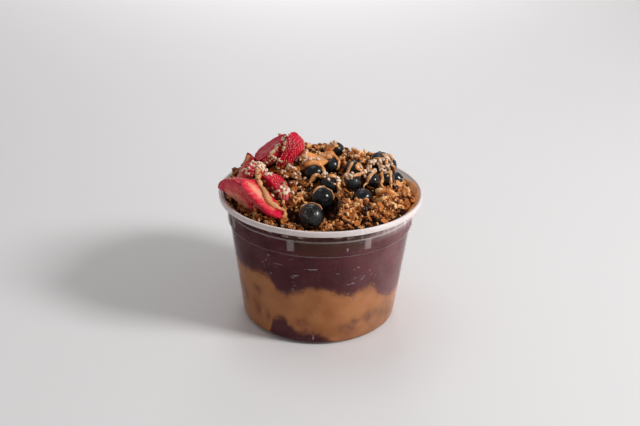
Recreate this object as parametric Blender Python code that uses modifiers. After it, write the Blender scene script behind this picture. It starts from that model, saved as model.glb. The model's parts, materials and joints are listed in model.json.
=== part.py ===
"""Acai bowl: a round translucent tub filled with acai, peanut butter and granola, with fruit on top.

The origin is the centre of the tub's base, +Z is up and -Y is the front. Every food piece is a
closed solid of its own, and a small gap keeps it clear of its neighbours. Lengths are metres.
"""
import math

import bmesh
import bpy
import numpy as np
from mathutils import Matrix, Vector

MM = 0.001
GAP = 0.3 * MM                    # clearance between pieces that touch

# ---- the tub ------------------------------------------------------------------------------
TUB_HEIGHT = 77.0 * MM
LIP_RADIUS = 58.5 * MM
LIP_HEIGHT = 3.2 * MM
LIP_ROUND = 0.7 * MM
WALL = 0.8 * MM
BAND_TOP_RADIUS = 54.1 * MM       # the upright band under the lip
BAND_FOOT_RADIUS = 53.7 * MM
MOUTH_RADIUS = 56.8 * MM          # the inner face opens out to this under the lip
MOUTH_FOOT = 74.0 * MM            # from this height
MOUTH_TOP = 76.5 * MM             # to this one
MOUTH_ROUND = 0.3 * MM            # and is rounded off to the top of the lip
SHOULDER_HEIGHT = 59.9 * MM       # where the band steps in to the tapered body
SHOULDER_STEP = 0.4 * MM
SHOULDER_DROP = 0.7 * MM          # height of the step on the outer face
BODY_TOP_RADIUS = 52.5 * MM
BODY_FOOT_RADIUS = 45.8 * MM
CORNER = 2.4 * MM                 # rounding between the body and the base
RING_HEIGHT = 68.7 * MM           # thin bead round the band
RING_PROUD = 0.45 * MM
RING_SINK = 0.1 * MM              # the bead's foot lies this far inside the band's outer face
RIB_COUNT = 8                     # short upright ribs that hang from the bead
RIB_FIRST_AZIMUTH = -16.8         # degrees from the front, towards +X
RIB_WIDTH = 4.2 * MM
RIB_LENGTH = 6.0 * MM
RIB_PROUD = 0.5 * MM
TUB_SEGMENTS = 48

# ---- the layers, as (azimuth, height, width) swells on a mean level; angles in degrees -----
LAYER_SEGMENTS = 40
PEANUT_LEVEL = 32.0 * MM
PEANUT_TILT = 6.5 * MM            # the peanut butter stands higher towards the left
PEANUT_TILT_AZIMUTH = -75.0
PEANUT_SWELLS = [(-42, 5.0, 13), (-23, -6.5, 7), (0, 5.5, 10), (19, -1.5, 7), (33, 6.5, 6.5),
                 (56, -3.5, 12), (120, 5.0, 18), (165, -3.0, 12), (-140, 3.5, 20)]
PEANUT_CROWN = 3.0 * MM           # rise of the layers towards the middle
LOWER_CENTRE_HEIGHT = 14.0 * MM
LOWER_SWELLS = [(-29, 9.5, 6.5), (-17, 3.5, 9), (-1, 4.0, 9)]
LOWER_WALL_LEVEL = -1.0 * MM
LOWER_EDGE = 3.0 * MM
LOWER_REACH_AZIMUTH = -19.0       # the lower acai reaches the wall round this azimuth
LOWER_REACH_SPREAD = 22.0
LOWER_REACH_FADE = 14.0
LOWER_SHORT_REACH = 0.8
ACAI_LEVEL = 73.6 * MM            # where the upper acai meets the wall, just under the lip
ACAI_FRONT_DIP = (5.0, 13.3, 15)  # granola shows through the wall in this dip
ACAI_HOLLOW = 5.0 * MM

# heights where the wall turns, which a layer's side follows
LEAST_LEVEL_STEP = 0.4 * MM       # the levels keep at least this far apart
CORNER_LEVELS = [CORNER]
SHOULDER_LEVELS = [SHOULDER_HEIGHT - SHOULDER_STEP, SHOULDER_HEIGHT + SHOULDER_STEP]
HEAP_LEVELS = [SHOULDER_HEIGHT + SHOULDER_STEP, MOUTH_FOOT + GAP]

# ---- the heap of granola ------------------------------------------------------------------
HEAP_EDGE = 76.2 * MM             # where the heap meets the mouth of the tub
HEAP_DROPS = [(95, 2.0, 40), (-5, 1.5, 7)]     # low places: azimuth, depth in millimetres, width
HEAP_RISE = 11.5 * MM
HEAP_TILT = 0.13                  # the heap leans towards the back
HEAP_RINGS = 6
HEAP_RIPPLE = 0.9 * MM            # fine unevenness, and its waves round, outwards and across
HEAP_RIPPLE_WAVES = (7, 260, 430)
# clusters that stand out of the heap: x, y, height, reach, in millimetres
HEAP_CLUSTERS = [(25, -33, 4.5, 7), (12, -34, 4.0, 6), (36, -20, 5.0, 8), (47, -8, 3.0, 6),
                 (-15, -2, 4.5, 7), (-14, -22, 2.5, 7), (18, 16, 4.0, 8), (8, 25, 3.0, 8),
                 (33, 18, 3.0, 9), (-5, 38, 2.0, 10), (-26, 20, 6.0, 12), (-40, 14, 4.0, 9),
                 (-45, -28, -4.5, 9)]

# ---- blueberries: x, y, z of the centre and the radius, in millimetres, and the crown's lean -
BERRIES = [
    (-5, -41, 78.3, 7.2, (-0.25, -0.75, 0.6)),
    (0.6, -26, 82.7, 6.6, (0.5, 0.3, 0.8)),
    (4.3, -12, 84.6, 5.3, (0.2, -0.5, 0.8)),
    (-4, -3, 87.5, 6.2, (-0.6, 0.4, 0.7)),
    (6, 8, 88, 5.2, (0.6, 0.2, 0.7)),
    (8, 24, 91.3, 5.6, (-0.3, 0.8, 0.5)),
    (18.3, 3, 87.6, 5.9, (-0.2, 0.5, 0.8)),
    (17.5, -10, 85.3, 5.6, (-0.7, -0.2, -0.6)),
    (28.5, -4, 83.8, 5.3, (0.8, 0.4, 0.4)),
    (23, -22, 80.7, 6.0, (-0.4, 0.6, 0.7)),
    (34.5, 14, 88.6, 6.4, (0.3, 0.4, 0.9)),
    (39.7, 25.5, 81.7, 5.9, (0.6, 0.7, 0.4)),
    (37.5, 2, 82.8, 5.1, (0.4, -0.6, 0.7)),
    (43.5, 9.5, 79.6, 4.6, (0.9, -0.3, 0.2)),
]
BERRY_SEGMENTS = 12
BERRY_RINGS = 7
BERRY_CUT_SEGMENTS = 8            # the hollow that a berry leaves in the heap is plainer
BERRY_CUT_RINGS = 5
BERRY_CUT_SCALE = 1.16            # its flat faces lie nearer the middle than its corners do
BERRY_FLATNESS = 0.92
BERRY_DIMPLE = 0.78               # depth of the crown's middle, as a share of the radius

# ---- strawberry pieces --------------------------------------------------------------------
# ends of the fruit's axis (leaf end, tip), the way the skin faces, the whole fruit's width, how
# far round the skin goes in degrees (180 is a half, 90 a quarter), how blunt the fruit is (2 is
# an ellipse) and how far from its axis, towards the skin, the cut faces meet. Millimetres.
STRAWBERRIES = {
    "strawberry_back": ((-17.6, 15.3, 106), (-26.5, 10.4, 83.5), (0.8, -0.59, -0.09), 21, 120, 3, 0),
    "strawberry_slice": ((-38.5, 9, 91), (-20.6, 14.5, 104.2), (0.53, 0.08, -0.84), 18, 180, 2.7, 0),
    "strawberry_back_left": ((-50, 5, 79), (-43.5, 15, 92.5), (0.94, -0.22, -0.25), 18, 80, 4, 0),
    "strawberry_left": ((-36.5, -30.5, 73.5), (-58, -10.5, 80.3), (0.36, 0.14, 0.92), 28, 60, 2.2, 0),
    "strawberry_front": ((-41, -21.6, 91.9), (-19.6, -43.1, 78.6), (-0.37, 0.13, -0.92), 14, 180, 3.5, 1),
    "strawberry_middle": ((-35, -9, 85), (-16, -28, 73), (0.58, 0.10, 0.81), 20, 100, 2.7, 0),
    "strawberry_seeded": ((-43.5, -9, 87.5), (-31, -3, 88), (0.19, -0.37, 0.91), 13, 110, 2.7, 0),
}
# a piece that lies on another presses into it
PRESSED = {"strawberry_slice": "strawberry_back", "strawberry_left": "strawberry_front"}
HULL_CUT = 0.95                   # where the leaves were cut off, as a share of half the length
FRUIT_TAPER = 0.2                 # how much fuller the leaf end is than the tip
FRUIT_CLEARANCE = GAP + 0.1 * MM  # how much larger its hollow in the granola is than a piece
FRUIT_SHARP_ANGLE = 50            # edges sharper than this many degrees stay sharp
FRUIT_SEGMENTS = 16
FRUIT_RINGS = 8


# ---- colours ------------------------------------------------------------------------------
TUB_COLOUR = (0.78, 0.73, 0.72)
ACAI_COLOUR = (0.07, 0.03, 0.045)
PEANUT_COLOUR = (0.38, 0.17, 0.07)
GRANOLA_COLOUR = (0.28, 0.12, 0.05)
BERRY_COLOUR = (0.012, 0.014, 0.025)
STRAWBERRY_COLOUR = (0.45, 0.01, 0.04)


def clear_scene():
    for obj in list(bpy.data.objects):
        bpy.data.objects.remove(obj, do_unlink=True)


def new_collection(name):
    collection = bpy.data.collections.new(name)
    bpy.context.scene.collection.children.link(collection)
    return collection


def new_material(name, colour, roughness, alpha=1.0):
    material = bpy.data.materials.new(name)
    material.use_nodes = True
    shader = material.node_tree.nodes["Principled BSDF"]
    shader.inputs["Base Color"].default_value = (*colour, 1.0)
    shader.inputs["Roughness"].default_value = roughness
    shader.inputs["Metallic"].default_value = 0.0
    shader.inputs["Alpha"].default_value = alpha
    return material


def add_object(name, mesh, collection, material=None):
    obj = bpy.data.objects.new(name, mesh)
    collection.objects.link(obj)
    if material:
        mesh.materials.clear()
        mesh.materials.append(material)
    return obj


def make_cutter(obj):
    obj.hide_render = True
    obj.display_type = "WIRE"
    return obj


def add_boolean(obj, cutter, operation):
    modifier = obj.modifiers.new("cut_" + cutter.name, "BOOLEAN")
    modifier.operation = operation
    modifier.solver = "EXACT"
    modifier.object = cutter
    return modifier


def around(azimuth, swells, unit=MM):
    """Sum of bell-shaped swells, each (azimuth, height, width), at an azimuth in degrees."""
    total = 0.0
    for centre, height, width in swells:
        away = (azimuth - centre + 180.0) % 360.0 - 180.0
        total += height * unit * math.exp(-0.5 * (away / width) ** 2)
    return total


# ---- the tub ------------------------------------------------------------------------------

def inner_radius(z):
    """Radius of the tub's inner face at height z."""
    body = min(1.0, max(0.0, (z - CORNER) / (SHOULDER_HEIGHT - CORNER)))
    body_radius = BODY_FOOT_RADIUS + (BODY_TOP_RADIUS - BODY_FOOT_RADIUS) * body
    band = min(1.0, max(0.0, (z - SHOULDER_HEIGHT) / (TUB_HEIGHT - SHOULDER_HEIGHT)))
    band_radius = BAND_FOOT_RADIUS + (BAND_TOP_RADIUS - BAND_FOOT_RADIUS) * band
    step = min(1.0, max(0.0, (z - SHOULDER_HEIGHT) / (2 * SHOULDER_STEP) + 0.5))
    radius = body_radius + (band_radius - body_radius) * step - WALL - max(0.0, CORNER - z)
    mouth = min(1.0, max(0.0, (z - MOUTH_FOOT) / (MOUTH_TOP - MOUTH_FOOT)))
    return radius + (MOUTH_RADIUS - radius) * mouth


def arc_points(centre, radius, start, end, steps):
    """Points on an arc in the profile's plane, angles in degrees from +X."""
    points = []
    for i in range(steps + 1):
        angle = math.radians(start + (end - start) * i / steps)
        points.append((centre[0] + radius * math.cos(angle), centre[1] + radius * math.sin(angle)))
    return points


def tub_profile():
    """Half section: up the inner face, over the lip, and down the outer face to the base."""
    lip_foot = TUB_HEIGHT - LIP_HEIGHT
    inner = [
        (0.0, WALL),
        (BODY_FOOT_RADIUS - CORNER, WALL),
        (BODY_FOOT_RADIUS - WALL, CORNER),
        (BODY_TOP_RADIUS - WALL, SHOULDER_HEIGHT - SHOULDER_STEP),
        (BAND_FOOT_RADIUS - WALL, SHOULDER_HEIGHT + SHOULDER_STEP),
        (inner_radius(MOUTH_FOOT), MOUTH_FOOT),
        (MOUTH_RADIUS, MOUTH_TOP),
        (MOUTH_RADIUS + MOUTH_ROUND, TUB_HEIGHT),
    ]
    lip = arc_points((LIP_RADIUS - LIP_ROUND, TUB_HEIGHT - LIP_ROUND), LIP_ROUND, 90, 0, 1)
    lip += [(LIP_RADIUS, lip_foot), (BAND_TOP_RADIUS, lip_foot)]
    ring = [
        (BAND_TOP_RADIUS - RING_SINK, RING_HEIGHT + RING_PROUD),
        (BAND_TOP_RADIUS + RING_PROUD, RING_HEIGHT),
        (BAND_TOP_RADIUS - RING_SINK, RING_HEIGHT - RING_PROUD),
    ]
    body = [(BAND_FOOT_RADIUS, SHOULDER_HEIGHT), (BODY_TOP_RADIUS, SHOULDER_HEIGHT - SHOULDER_DROP)]
    body += arc_points((BODY_FOOT_RADIUS - CORNER, CORNER), CORNER, 0, -90, 2)
    return inner + lip + ring + body + [(0.0, 0.0)]


def turned_object(name, profile, segments, collection, material):
    """Screw an (radius, height) profile round +Z into a closed solid."""
    mesh = bpy.data.meshes.new(name)
    mesh.from_pydata([(r, 0.0, z) for r, z in profile],
                     [(i, i + 1) for i in range(len(profile) - 1)], [])
    obj = add_object(name, mesh, collection, material)
    screw = obj.modifiers.new("turn", "SCREW")
    screw.axis = "Z"
    screw.angle = math.tau
    screw.steps = segments
    screw.render_steps = segments
    screw.use_merge_vertices = True
    screw.merge_threshold = 0.00005
    return obj


def make_tub(collection, cutters):
    material = new_material("tub_plastic", TUB_COLOUR, 0.35, 0.35)
    tub = turned_object("tub", tub_profile(), TUB_SEGMENTS, collection, material)
    ribs = bmesh.new()
    depth = RIB_PROUD + 0.5 * WALL
    for k in range(RIB_COUNT):
        azimuth = math.radians(RIB_FIRST_AZIMUTH + 360.0 * k / RIB_COUNT)
        centre = Vector((0.0, -(BAND_TOP_RADIUS + RIB_PROUD - depth / 2), RING_HEIGHT - RIB_LENGTH / 2))
        place = Matrix.Rotation(azimuth, 4, "Z") @ Matrix.Translation(centre)
        size = Matrix.Diagonal((RIB_WIDTH, depth, RIB_LENGTH, 1.0))
        bmesh.ops.create_cube(ribs, size=1.0, matrix=place @ size)
    mesh = bpy.data.meshes.new("tub_ribs")
    ribs.to_mesh(mesh)
    ribs.free()
    add_boolean(tub, make_cutter(add_object("tub_ribs", mesh, cutters)), "UNION")


# ---- the layers ---------------------------------------------------------------------------

def peanut_top(azimuth, share):
    """Top of the peanut butter: uneven at the wall, a smooth low crown in the middle."""
    tilt = PEANUT_TILT * math.cos(math.radians(azimuth - PEANUT_TILT_AZIMUTH))
    wall = tilt + around(azimuth, PEANUT_SWELLS)
    return PEANUT_LEVEL + wall * share ** 2 + PEANUT_CROWN * (1 - share ** 2)


def lower_top(azimuth, share):
    """Top of the lower acai: a low mound that reaches the wall only at the front left."""
    wall = around(azimuth, LOWER_SWELLS) + LOWER_WALL_LEVEL
    return WALL + max(LOWER_EDGE, LOWER_CENTRE_HEIGHT * (1 - share ** 2) + wall * share ** 2)


def acai_top(azimuth, share):
    """Top of the upper acai: level at the wall but for the front dip, hollow in the middle."""
    wall = -around(azimuth, [ACAI_FRONT_DIP])
    return ACAI_LEVEL + wall * share ** 3 - ACAI_HOLLOW * (1 - share ** 2)


def heap_top(azimuth, share):
    """Top of the granola: a mound that leans back, with clusters and a fine unevenness."""
    radius = share * inner_radius(HEAP_EDGE)
    angle = math.radians(azimuth)
    x, y = radius * math.sin(angle), -radius * math.cos(angle)
    rise = HEAP_RISE * (1 - share ** 2) + HEAP_TILT * y * (1 - share ** 6)
    for cx, cy, height, reach in HEAP_CLUSTERS:
        away = ((x / MM - cx) ** 2 + (y / MM - cy) ** 2) / reach ** 2
        rise += height * MM * math.exp(-away) * (1 - share ** 8)
    turns, outwards, across = HEAP_RIPPLE_WAVES
    ripple = HEAP_RIPPLE * math.sin(turns * angle + outwards * radius) * math.sin(across * x + 1.3)
    return HEAP_EDGE - around(azimuth, HEAP_DROPS) * share ** 6 + rise + ripple


def layer_mesh(name, bottom, top, rings, levels, reach=None, grow=0.0):
    """Loft a round layer between two uneven faces, each a function of azimuth and radius share.

    rings are the rings of faces in the bottom and in the top, and levels the heights at which
    the side turns. reach(azimuth) shortens the layer where it does not go out to the wall, and
    grow swells it.
    """
    verts, faces = [], []
    around_count = LAYER_SEGMENTS

    def add_ring(share, heights):
        for i, height in enumerate(heights):
            azimuth = 360.0 * i / around_count
            out = share * (reach(azimuth) if reach else 1.0)
            radius = out * (inner_radius(height - GAP) - GAP) + grow
            angle = math.radians(azimuth)
            verts.append((radius * math.sin(angle), -radius * math.cos(angle), height))

    def add_face(surface, lift, count):
        verts.append((0.0, 0.0, surface(0.0, 0.0) + lift))
        centre = len(verts) - 1
        for ring in range(1, count + 1):
            share = ring / count
            add_ring(share, [surface(360.0 * i / around_count, share) + lift for i in range(around_count)])
        return centre

    def at(first, ring, i):
        return first + ring * around_count + i % around_count

    low = add_face(bottom, -grow, rings[0])
    high = add_face(top, grow, rings[1])
    low_edge = low + 1 + (rings[0] - 1) * around_count
    high_edge = high + 1 + (rings[1] - 1) * around_count
    edge_low = [verts[low_edge + i][2] for i in range(around_count)]
    edge_high = [verts[high_edge + i][2] for i in range(around_count)]
    side = len(verts)
    for number, level in enumerate(levels, 1):
        heights = []
        for z0, z1 in zip(edge_low, edge_high):
            least = min(LEAST_LEVEL_STEP, (z1 - z0) / (len(levels) + 1))
            above, below = z0 + number * least, z1 - (len(levels) + 1 - number) * least
            heights.append(min(max(level, above), below))
        add_ring(1.0, heights)
    for centre, count, flip in ((low, rings[0], True), (high, rings[1], False)):
        for i in range(around_count):
            part = [(centre, at(centre + 1, 0, i), at(centre + 1, 0, i + 1))]
            for ring in range(count - 1):
                a, b = at(centre + 1, ring, i), at(centre + 1, ring, i + 1)
                c, d = at(centre + 1, ring + 1, i + 1), at(centre + 1, ring + 1, i)
                part += [(a, d, c), (a, c, b)]
            faces += [f[::-1] for f in part] if flip else part
    columns = [low_edge] + [side + k * around_count for k in range(len(levels))] + [high_edge]
    for first, second in zip(columns, columns[1:]):
        for i in range(around_count):
            j = (i + 1) % around_count
            faces += [(first + i, first + j, second + j), (first + i, second + j, second + i)]
    mesh = bpy.data.meshes.new(name)
    mesh.from_pydata(verts, [], faces)
    return mesh


def floor_level(azimuth, share):
    return WALL + GAP


def lower_reach(azimuth):
    """The lower acai reaches the wall at the front left and stops short of it elsewhere."""
    away = (azimuth - LOWER_REACH_AZIMUTH + 180.0) % 360.0 - 180.0
    edge = (abs(away) - LOWER_REACH_SPREAD) / LOWER_REACH_FADE
    return 1.0 - (1.0 - LOWER_SHORT_REACH) * min(1.0, max(0.0, edge))


def lifted(surface):
    """The same surface, one gap higher, for the layer that lies on it."""
    return lambda azimuth, share: surface(azimuth, share) + GAP


def make_layers(collection, cutters):
    acai = new_material("acai", ACAI_COLOUR, 0.5)
    peanut = new_material("peanut_butter", PEANUT_COLOUR, 0.45)
    granola = new_material("granola", GRANOLA_COLOUR, 0.8)
    mesh = layer_mesh("acai_lower", floor_level, lower_top, (1, 3), CORNER_LEVELS, lower_reach)
    add_object("acai_lower", mesh, collection, acai)
    cutter_mesh = layer_mesh("acai_lower_cutter", floor_level, lower_top, (1, 3), CORNER_LEVELS,
                             lower_reach, GAP)
    cutter = make_cutter(add_object("acai_lower_cutter", cutter_mesh, cutters))
    mesh = layer_mesh("peanut_butter_layer", floor_level, peanut_top, (1, 3), CORNER_LEVELS)
    add_boolean(add_object("peanut_butter_layer", mesh, collection, peanut), cutter, "DIFFERENCE")
    mesh = layer_mesh("acai_upper", lifted(peanut_top), acai_top, (3, 2), SHOULDER_LEVELS)
    add_object("acai_upper", mesh, collection, acai)
    mesh = layer_mesh("granola_heap", lifted(acai_top), heap_top, (2, HEAP_RINGS), HEAP_LEVELS)
    return add_object("granola_heap", mesh, collection, granola)


# ---- fruit --------------------------------------------------------------------------------

def turned_to(direction):
    """Rotation that takes +Z to a direction."""
    return Vector(direction).to_track_quat("Z", "Y")


def berry_mesh(name, segments, rings, dimple):
    """A round of unit radius, a little flat, with the crown's dimple at its top."""
    sphere = bmesh.new()
    bmesh.ops.create_uvsphere(sphere, u_segments=segments, v_segments=rings, radius=1.0)
    for vert in sphere.verts:
        if vert.co.z > 0.99:
            vert.co.z *= dimple
        vert.co.z *= BERRY_FLATNESS
    bmesh.ops.triangulate(sphere, faces=sphere.faces)
    mesh = bpy.data.meshes.new(name)
    sphere.to_mesh(mesh)
    sphere.free()
    mesh.shade_smooth()
    return mesh


def make_berries(collection, cutters, heap):
    material = new_material("blueberry_skin", BERRY_COLOUR, 0.4)
    mesh = berry_mesh("blueberry", BERRY_SEGMENTS, BERRY_RINGS, BERRY_DIMPLE)
    mesh.materials.append(material)
    cutter_mesh = berry_mesh("blueberry_cutter", BERRY_CUT_SEGMENTS, BERRY_CUT_RINGS, 1.0)
    for number, (x, y, z, radius, crown) in enumerate(BERRIES, 1):
        name = f"blueberry_{number:02d}"
        berry = bpy.data.objects.new(name, mesh)
        collection.objects.link(berry)
        cutter = bpy.data.objects.new(name + "_cutter", cutter_mesh)
        cutters.objects.link(cutter)
        for obj, scale in ((berry, 1.0), (cutter, BERRY_CUT_SCALE)):
            obj.location = Vector((x, y, z)) * MM
            obj.rotation_mode = "QUATERNION"
            obj.rotation_quaternion = turned_to(crown)
            obj.scale = [radius * MM * scale] * 3
        add_boolean(heap, make_cutter(cutter), "DIFFERENCE")


def strawberry_mesh(name, length, width, spread, fullness, core, grow):
    """A wedge of a hulled fruit: axis along +Z, tip at +Z, the middle of its skin towards +X.

    The whole fruit is a round stretched to its length, fuller towards the leaf end, which is
    cut off flat. The two cut faces meet at core, which is on the axis when it is 0.
    """
    fruit = bmesh.new()
    bmesh.ops.create_uvsphere(fruit, u_segments=FRUIT_SEGMENTS, v_segments=FRUIT_RINGS, radius=1.0)
    hulled = HULL_CUT * (length / 2 + grow)
    for vert in fruit.verts:
        height = vert.co.z
        if abs(height) < 0.999:
            full = math.sqrt((1 - abs(height) ** fullness) / (1 - height ** 2))
            vert.co.xy *= full * (1.0 - FRUIT_TAPER * height) * (width / 2 + grow)
        vert.co.z *= length / 2 + grow
    planes = [(Vector((0, 0, -1)), hulled)]
    for side in (1, -1):
        angle = side * math.radians(90 + spread / 2)
        planes.append((Vector((math.cos(angle), math.sin(angle), 0)), grow))
    meeting = Vector((core, 0, 0))
    for normal, distance in planes:
        geometry = fruit.verts[:] + fruit.edges[:] + fruit.faces[:]
        bmesh.ops.bisect_plane(fruit, geom=geometry, dist=1e-7, plane_no=normal,
                               plane_co=meeting + normal * distance, clear_outer=True)
        bmesh.ops.holes_fill(fruit, edges=fruit.edges, sides=0)
    bmesh.ops.triangulate(fruit, faces=fruit.faces)
    bmesh.ops.recalc_face_normals(fruit, faces=fruit.faces)
    mesh = bpy.data.meshes.new(name)
    fruit.to_mesh(mesh)
    fruit.free()
    mesh.shade_smooth()
    mesh.set_sharp_from_angle(angle=math.radians(FRUIT_SHARP_ANGLE))
    return mesh


def make_strawberries(collection, cutters, heap):
    material = new_material("strawberry_skin", STRAWBERRY_COLOUR, 0.35)
    for name, (leaf_end, tip, skin, width, spread, fullness, core) in STRAWBERRIES.items():
        start, end = Vector(leaf_end) * MM, Vector(tip) * MM
        along = (end - start).normalized()
        skin_way = Vector(skin)
        skin_way = (skin_way - skin_way.dot(along) * along).normalized()
        across = along.cross(skin_way)
        place = Matrix((skin_way, across, along)).transposed().to_4x4()
        place.translation = (start + end) / 2
        for grow, target in ((0.0, collection), (FRUIT_CLEARANCE, cutters)):
            label = name + ("_cutter" if grow else "")
            mesh = strawberry_mesh(label, (end - start).length, width * MM, spread, fullness,
                                   core * MM, grow)
            obj = add_object(label, mesh, target, None if grow else material)
            obj.matrix_world = place
            if grow:
                add_boolean(heap, make_cutter(obj), "DIFFERENCE")
    for lower, upper in PRESSED.items():
        add_boolean(collection.objects[lower], cutters.objects[upper + "_cutter"], "DIFFERENCE")


def main():
    clear_scene()
    collection = new_collection("acai_bowl")
    cutters = new_collection("cutters")
    make_tub(collection, cutters)
    heap = make_layers(collection, cutters)
    make_berries(collection, cutters, heap)
    make_strawberries(collection, cutters, heap)
    bpy.context.view_layer.update()


main()
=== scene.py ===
"""Looks of an acai bowl: a milky tub with acai, peanut butter and granola, and fruit on top.

Points are worked out in millimetres in the frame's own axes, +Z up and -Y to the front, and
become metres when a mesh is made. An azimuth is in degrees from the front, towards +X.
"""
import json
import math

import bpy
import numpy as np
from bpy.props import FloatProperty, FloatVectorProperty, IntProperty, PointerProperty
from mathutils import Matrix, Vector
from mathutils.bvhtree import BVHTree

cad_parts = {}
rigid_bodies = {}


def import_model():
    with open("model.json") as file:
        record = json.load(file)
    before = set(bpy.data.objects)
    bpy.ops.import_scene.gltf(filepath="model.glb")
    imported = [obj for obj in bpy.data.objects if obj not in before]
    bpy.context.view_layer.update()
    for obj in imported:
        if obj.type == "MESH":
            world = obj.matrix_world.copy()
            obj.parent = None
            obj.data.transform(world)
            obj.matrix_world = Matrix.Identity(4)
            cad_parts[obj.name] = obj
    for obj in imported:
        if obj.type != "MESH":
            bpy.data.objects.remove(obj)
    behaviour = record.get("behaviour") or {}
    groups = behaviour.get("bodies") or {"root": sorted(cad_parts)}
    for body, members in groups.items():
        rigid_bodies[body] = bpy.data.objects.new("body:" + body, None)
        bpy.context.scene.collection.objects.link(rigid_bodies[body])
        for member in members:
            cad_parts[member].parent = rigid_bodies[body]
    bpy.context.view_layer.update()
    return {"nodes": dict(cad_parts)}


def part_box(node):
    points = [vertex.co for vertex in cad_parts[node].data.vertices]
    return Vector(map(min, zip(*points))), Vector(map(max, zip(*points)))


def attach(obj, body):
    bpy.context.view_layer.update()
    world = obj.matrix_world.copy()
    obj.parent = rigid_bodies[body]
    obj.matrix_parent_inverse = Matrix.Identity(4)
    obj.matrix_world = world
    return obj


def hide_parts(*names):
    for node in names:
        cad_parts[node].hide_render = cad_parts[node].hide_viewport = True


bl_info = {
    "name": "Acai Bowl",
    "version": (1, 0, 0),
    "blender": (4, 5, 0),
    "location": "3D View > Sidebar > Acai Bowl",
    "description": "Builds a tub of acai with peanut butter, granola and fruit",
    "category": "Add Mesh",
}

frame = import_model()

MM = 0.001
TURN = 2 * math.pi
UP = np.array([0.0, 0.0, 1.0])

# ---- the tub's inside, which everything in it follows; millimetres -------------------------
TUB_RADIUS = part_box("tub")[1].x / MM
TUB_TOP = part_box("tub")[1].z / MM
WALL = 0.8
LIP_HEIGHT = 3.2
BAND_TOP_RADIUS = TUB_RADIUS - 4.4
BAND_FOOT_RADIUS = TUB_RADIUS - 4.8
MOUTH_RADIUS = TUB_RADIUS - 1.7  # the inner face opens out to this under the lip
MOUTH_FOOT = 74.0
MOUTH_TOP = 76.5
SHOULDER_HEIGHT = 59.9
SHOULDER_STEP = 0.4
BODY_TOP_RADIUS = TUB_RADIUS - 6.0
BODY_FOOT_RADIUS = TUB_RADIUS - 12.7
CORNER = 2.4
RING_HEIGHT = 68.7
RIB_COUNT = 8
RIB_FIRST_AZIMUTH = -16.8
INTO_WALL = 0.3                # how far the food reaches into the wall
PAINTED_LIGHT_FROM, PAINTED_LIGHT_RISE = 2.0, 60.0     # the side of the tub with painted light from the key light, and how softly it starts
PAINTED_LIGHT_TO, PAINTED_LIGHT_FALL = 175.0, 50.0     # and ends, in degrees

# ---- the layers' edges at the wall, as (azimuth, height) knots ------------------------------
PEANUT_LINE = [(-166, 31.4), (-150, 36), (-134, 34.2), (-120, 38), (-107, 36.6), (-95, 39.5),
               (-83, 37.4), (-70, 38.8), (-59, 39.1), (-45, 41.7),
               (-36, 42.1), (-31, 38.4), (-28, 33.6), (-22, 31.2), (-14, 35.3), (-5, 38.2),
               (4, 38.5), (8, 36.4), (12.5, 34.3), (22, 32.1), (28, 34.7), (33, 37.2),
               (38, 34.7), (43, 28.8), (54, 23.2), (75, 21), (95, 25), (108, 25.4), (120, 30),
               (134, 29.6), (150, 26.5), (162, 26.8), (175, 30)]
LOWER_LINE = [(-180, -1), (-51, -1), (-38, 0.6), (-35, 8), (-33.5, 13.4), (-28, 16.4),
              (-23.2, 16.6), (-20.8, 12.4), (-18, 9.4), (-15, 8.4), (-5, 8.2), (0.7, 7.2),
              (5, 5.2), (9, 2.4), (13, -1), (150, -1)]
UPPER_EDGE = 73.2              # the upper acai's usual height at the wall
UPPER_LINE = [(-180, UPPER_EDGE), (-26, UPPER_EDGE), (-17, 67), (-12, 61.8), (-4, 60.8),
              (8, 60.8), (15, 61.6), (22, 62.6), (26, 64.5), (32, 72.6), (36, UPPER_EDGE),
              (150, UPPER_EDGE)]
LOWER_MIDDLE = 14.0            # height of the lower acai's mound
PEANUT_LEVEL = 34.0            # height of the peanut butter away from the wall
PEANUT_CROWN = 3.0
UPPER_HOLLOW = 5.0
# smudges on the wall: azimuth, height, half width in degrees and half height
SMUDGES = [(-47.4, 15.5, 2.6, 3.0), (-37.6, 13.6, 1.8, 2.4), (-46, 29.5, 3.2, 3.0),
           (-10.5, 14.9, 3.0, 3.0), (-8, 11.5, 2.8, 2.4), (21.8, 10.2, 5.4, 3.4),
           (26.1, 13.9, 3.8, 2.8), (36.9, 14.4, 4.6, 3.2), (51.5, 13.2, 4.2, 3.6),
           (44, 15.5, 3.6, 2.8), (-62, 20, 3.0, 4.0), (60, 10, 3.0, 2.4),
           (98, 15.5, 3.6, 3.0), (127, 11, 2.6, 2.4), (133, 17, 2.8, 2.6), (168, 14, 3.4, 3.0),
           (-171, 20, 2.4, 2.6), (-148, 11.5, 3.2, 2.6), (-127, 24, 3.0, 3.4), (-103, 14, 3.2, 2.8),
           (-84, 25, 2.6, 3.0)]

# ---- the heap ------------------------------------------------------------------------------
HEAP_EDGE = 76.2
HEAP_RISE = 11.5
HEAP_TILT = 0.13
HEAP_CLUSTERS = [(25, -33, 4.5, 7), (12, -34, 4.0, 6), (36, -20, 5.0, 8), (47, -8, 3.0, 6),
                 (-15, -2, 4.5, 7), (-14, -22, 2.5, 7), (18, 16, 4.0, 8), (8, 25, 3.0, 8),
                 (33, 18, 3.0, 9), (-5, 38, 2.0, 10), (-26, 20, 6.0, 12), (-40, 14, 4.0, 9),
                 (-45, -28, -4.5, 9)]
HEAP_DROPS = [(95, 2.0, 40), (-5, 2.2, 7)]     # low places: azimuth, depth, width
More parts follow.
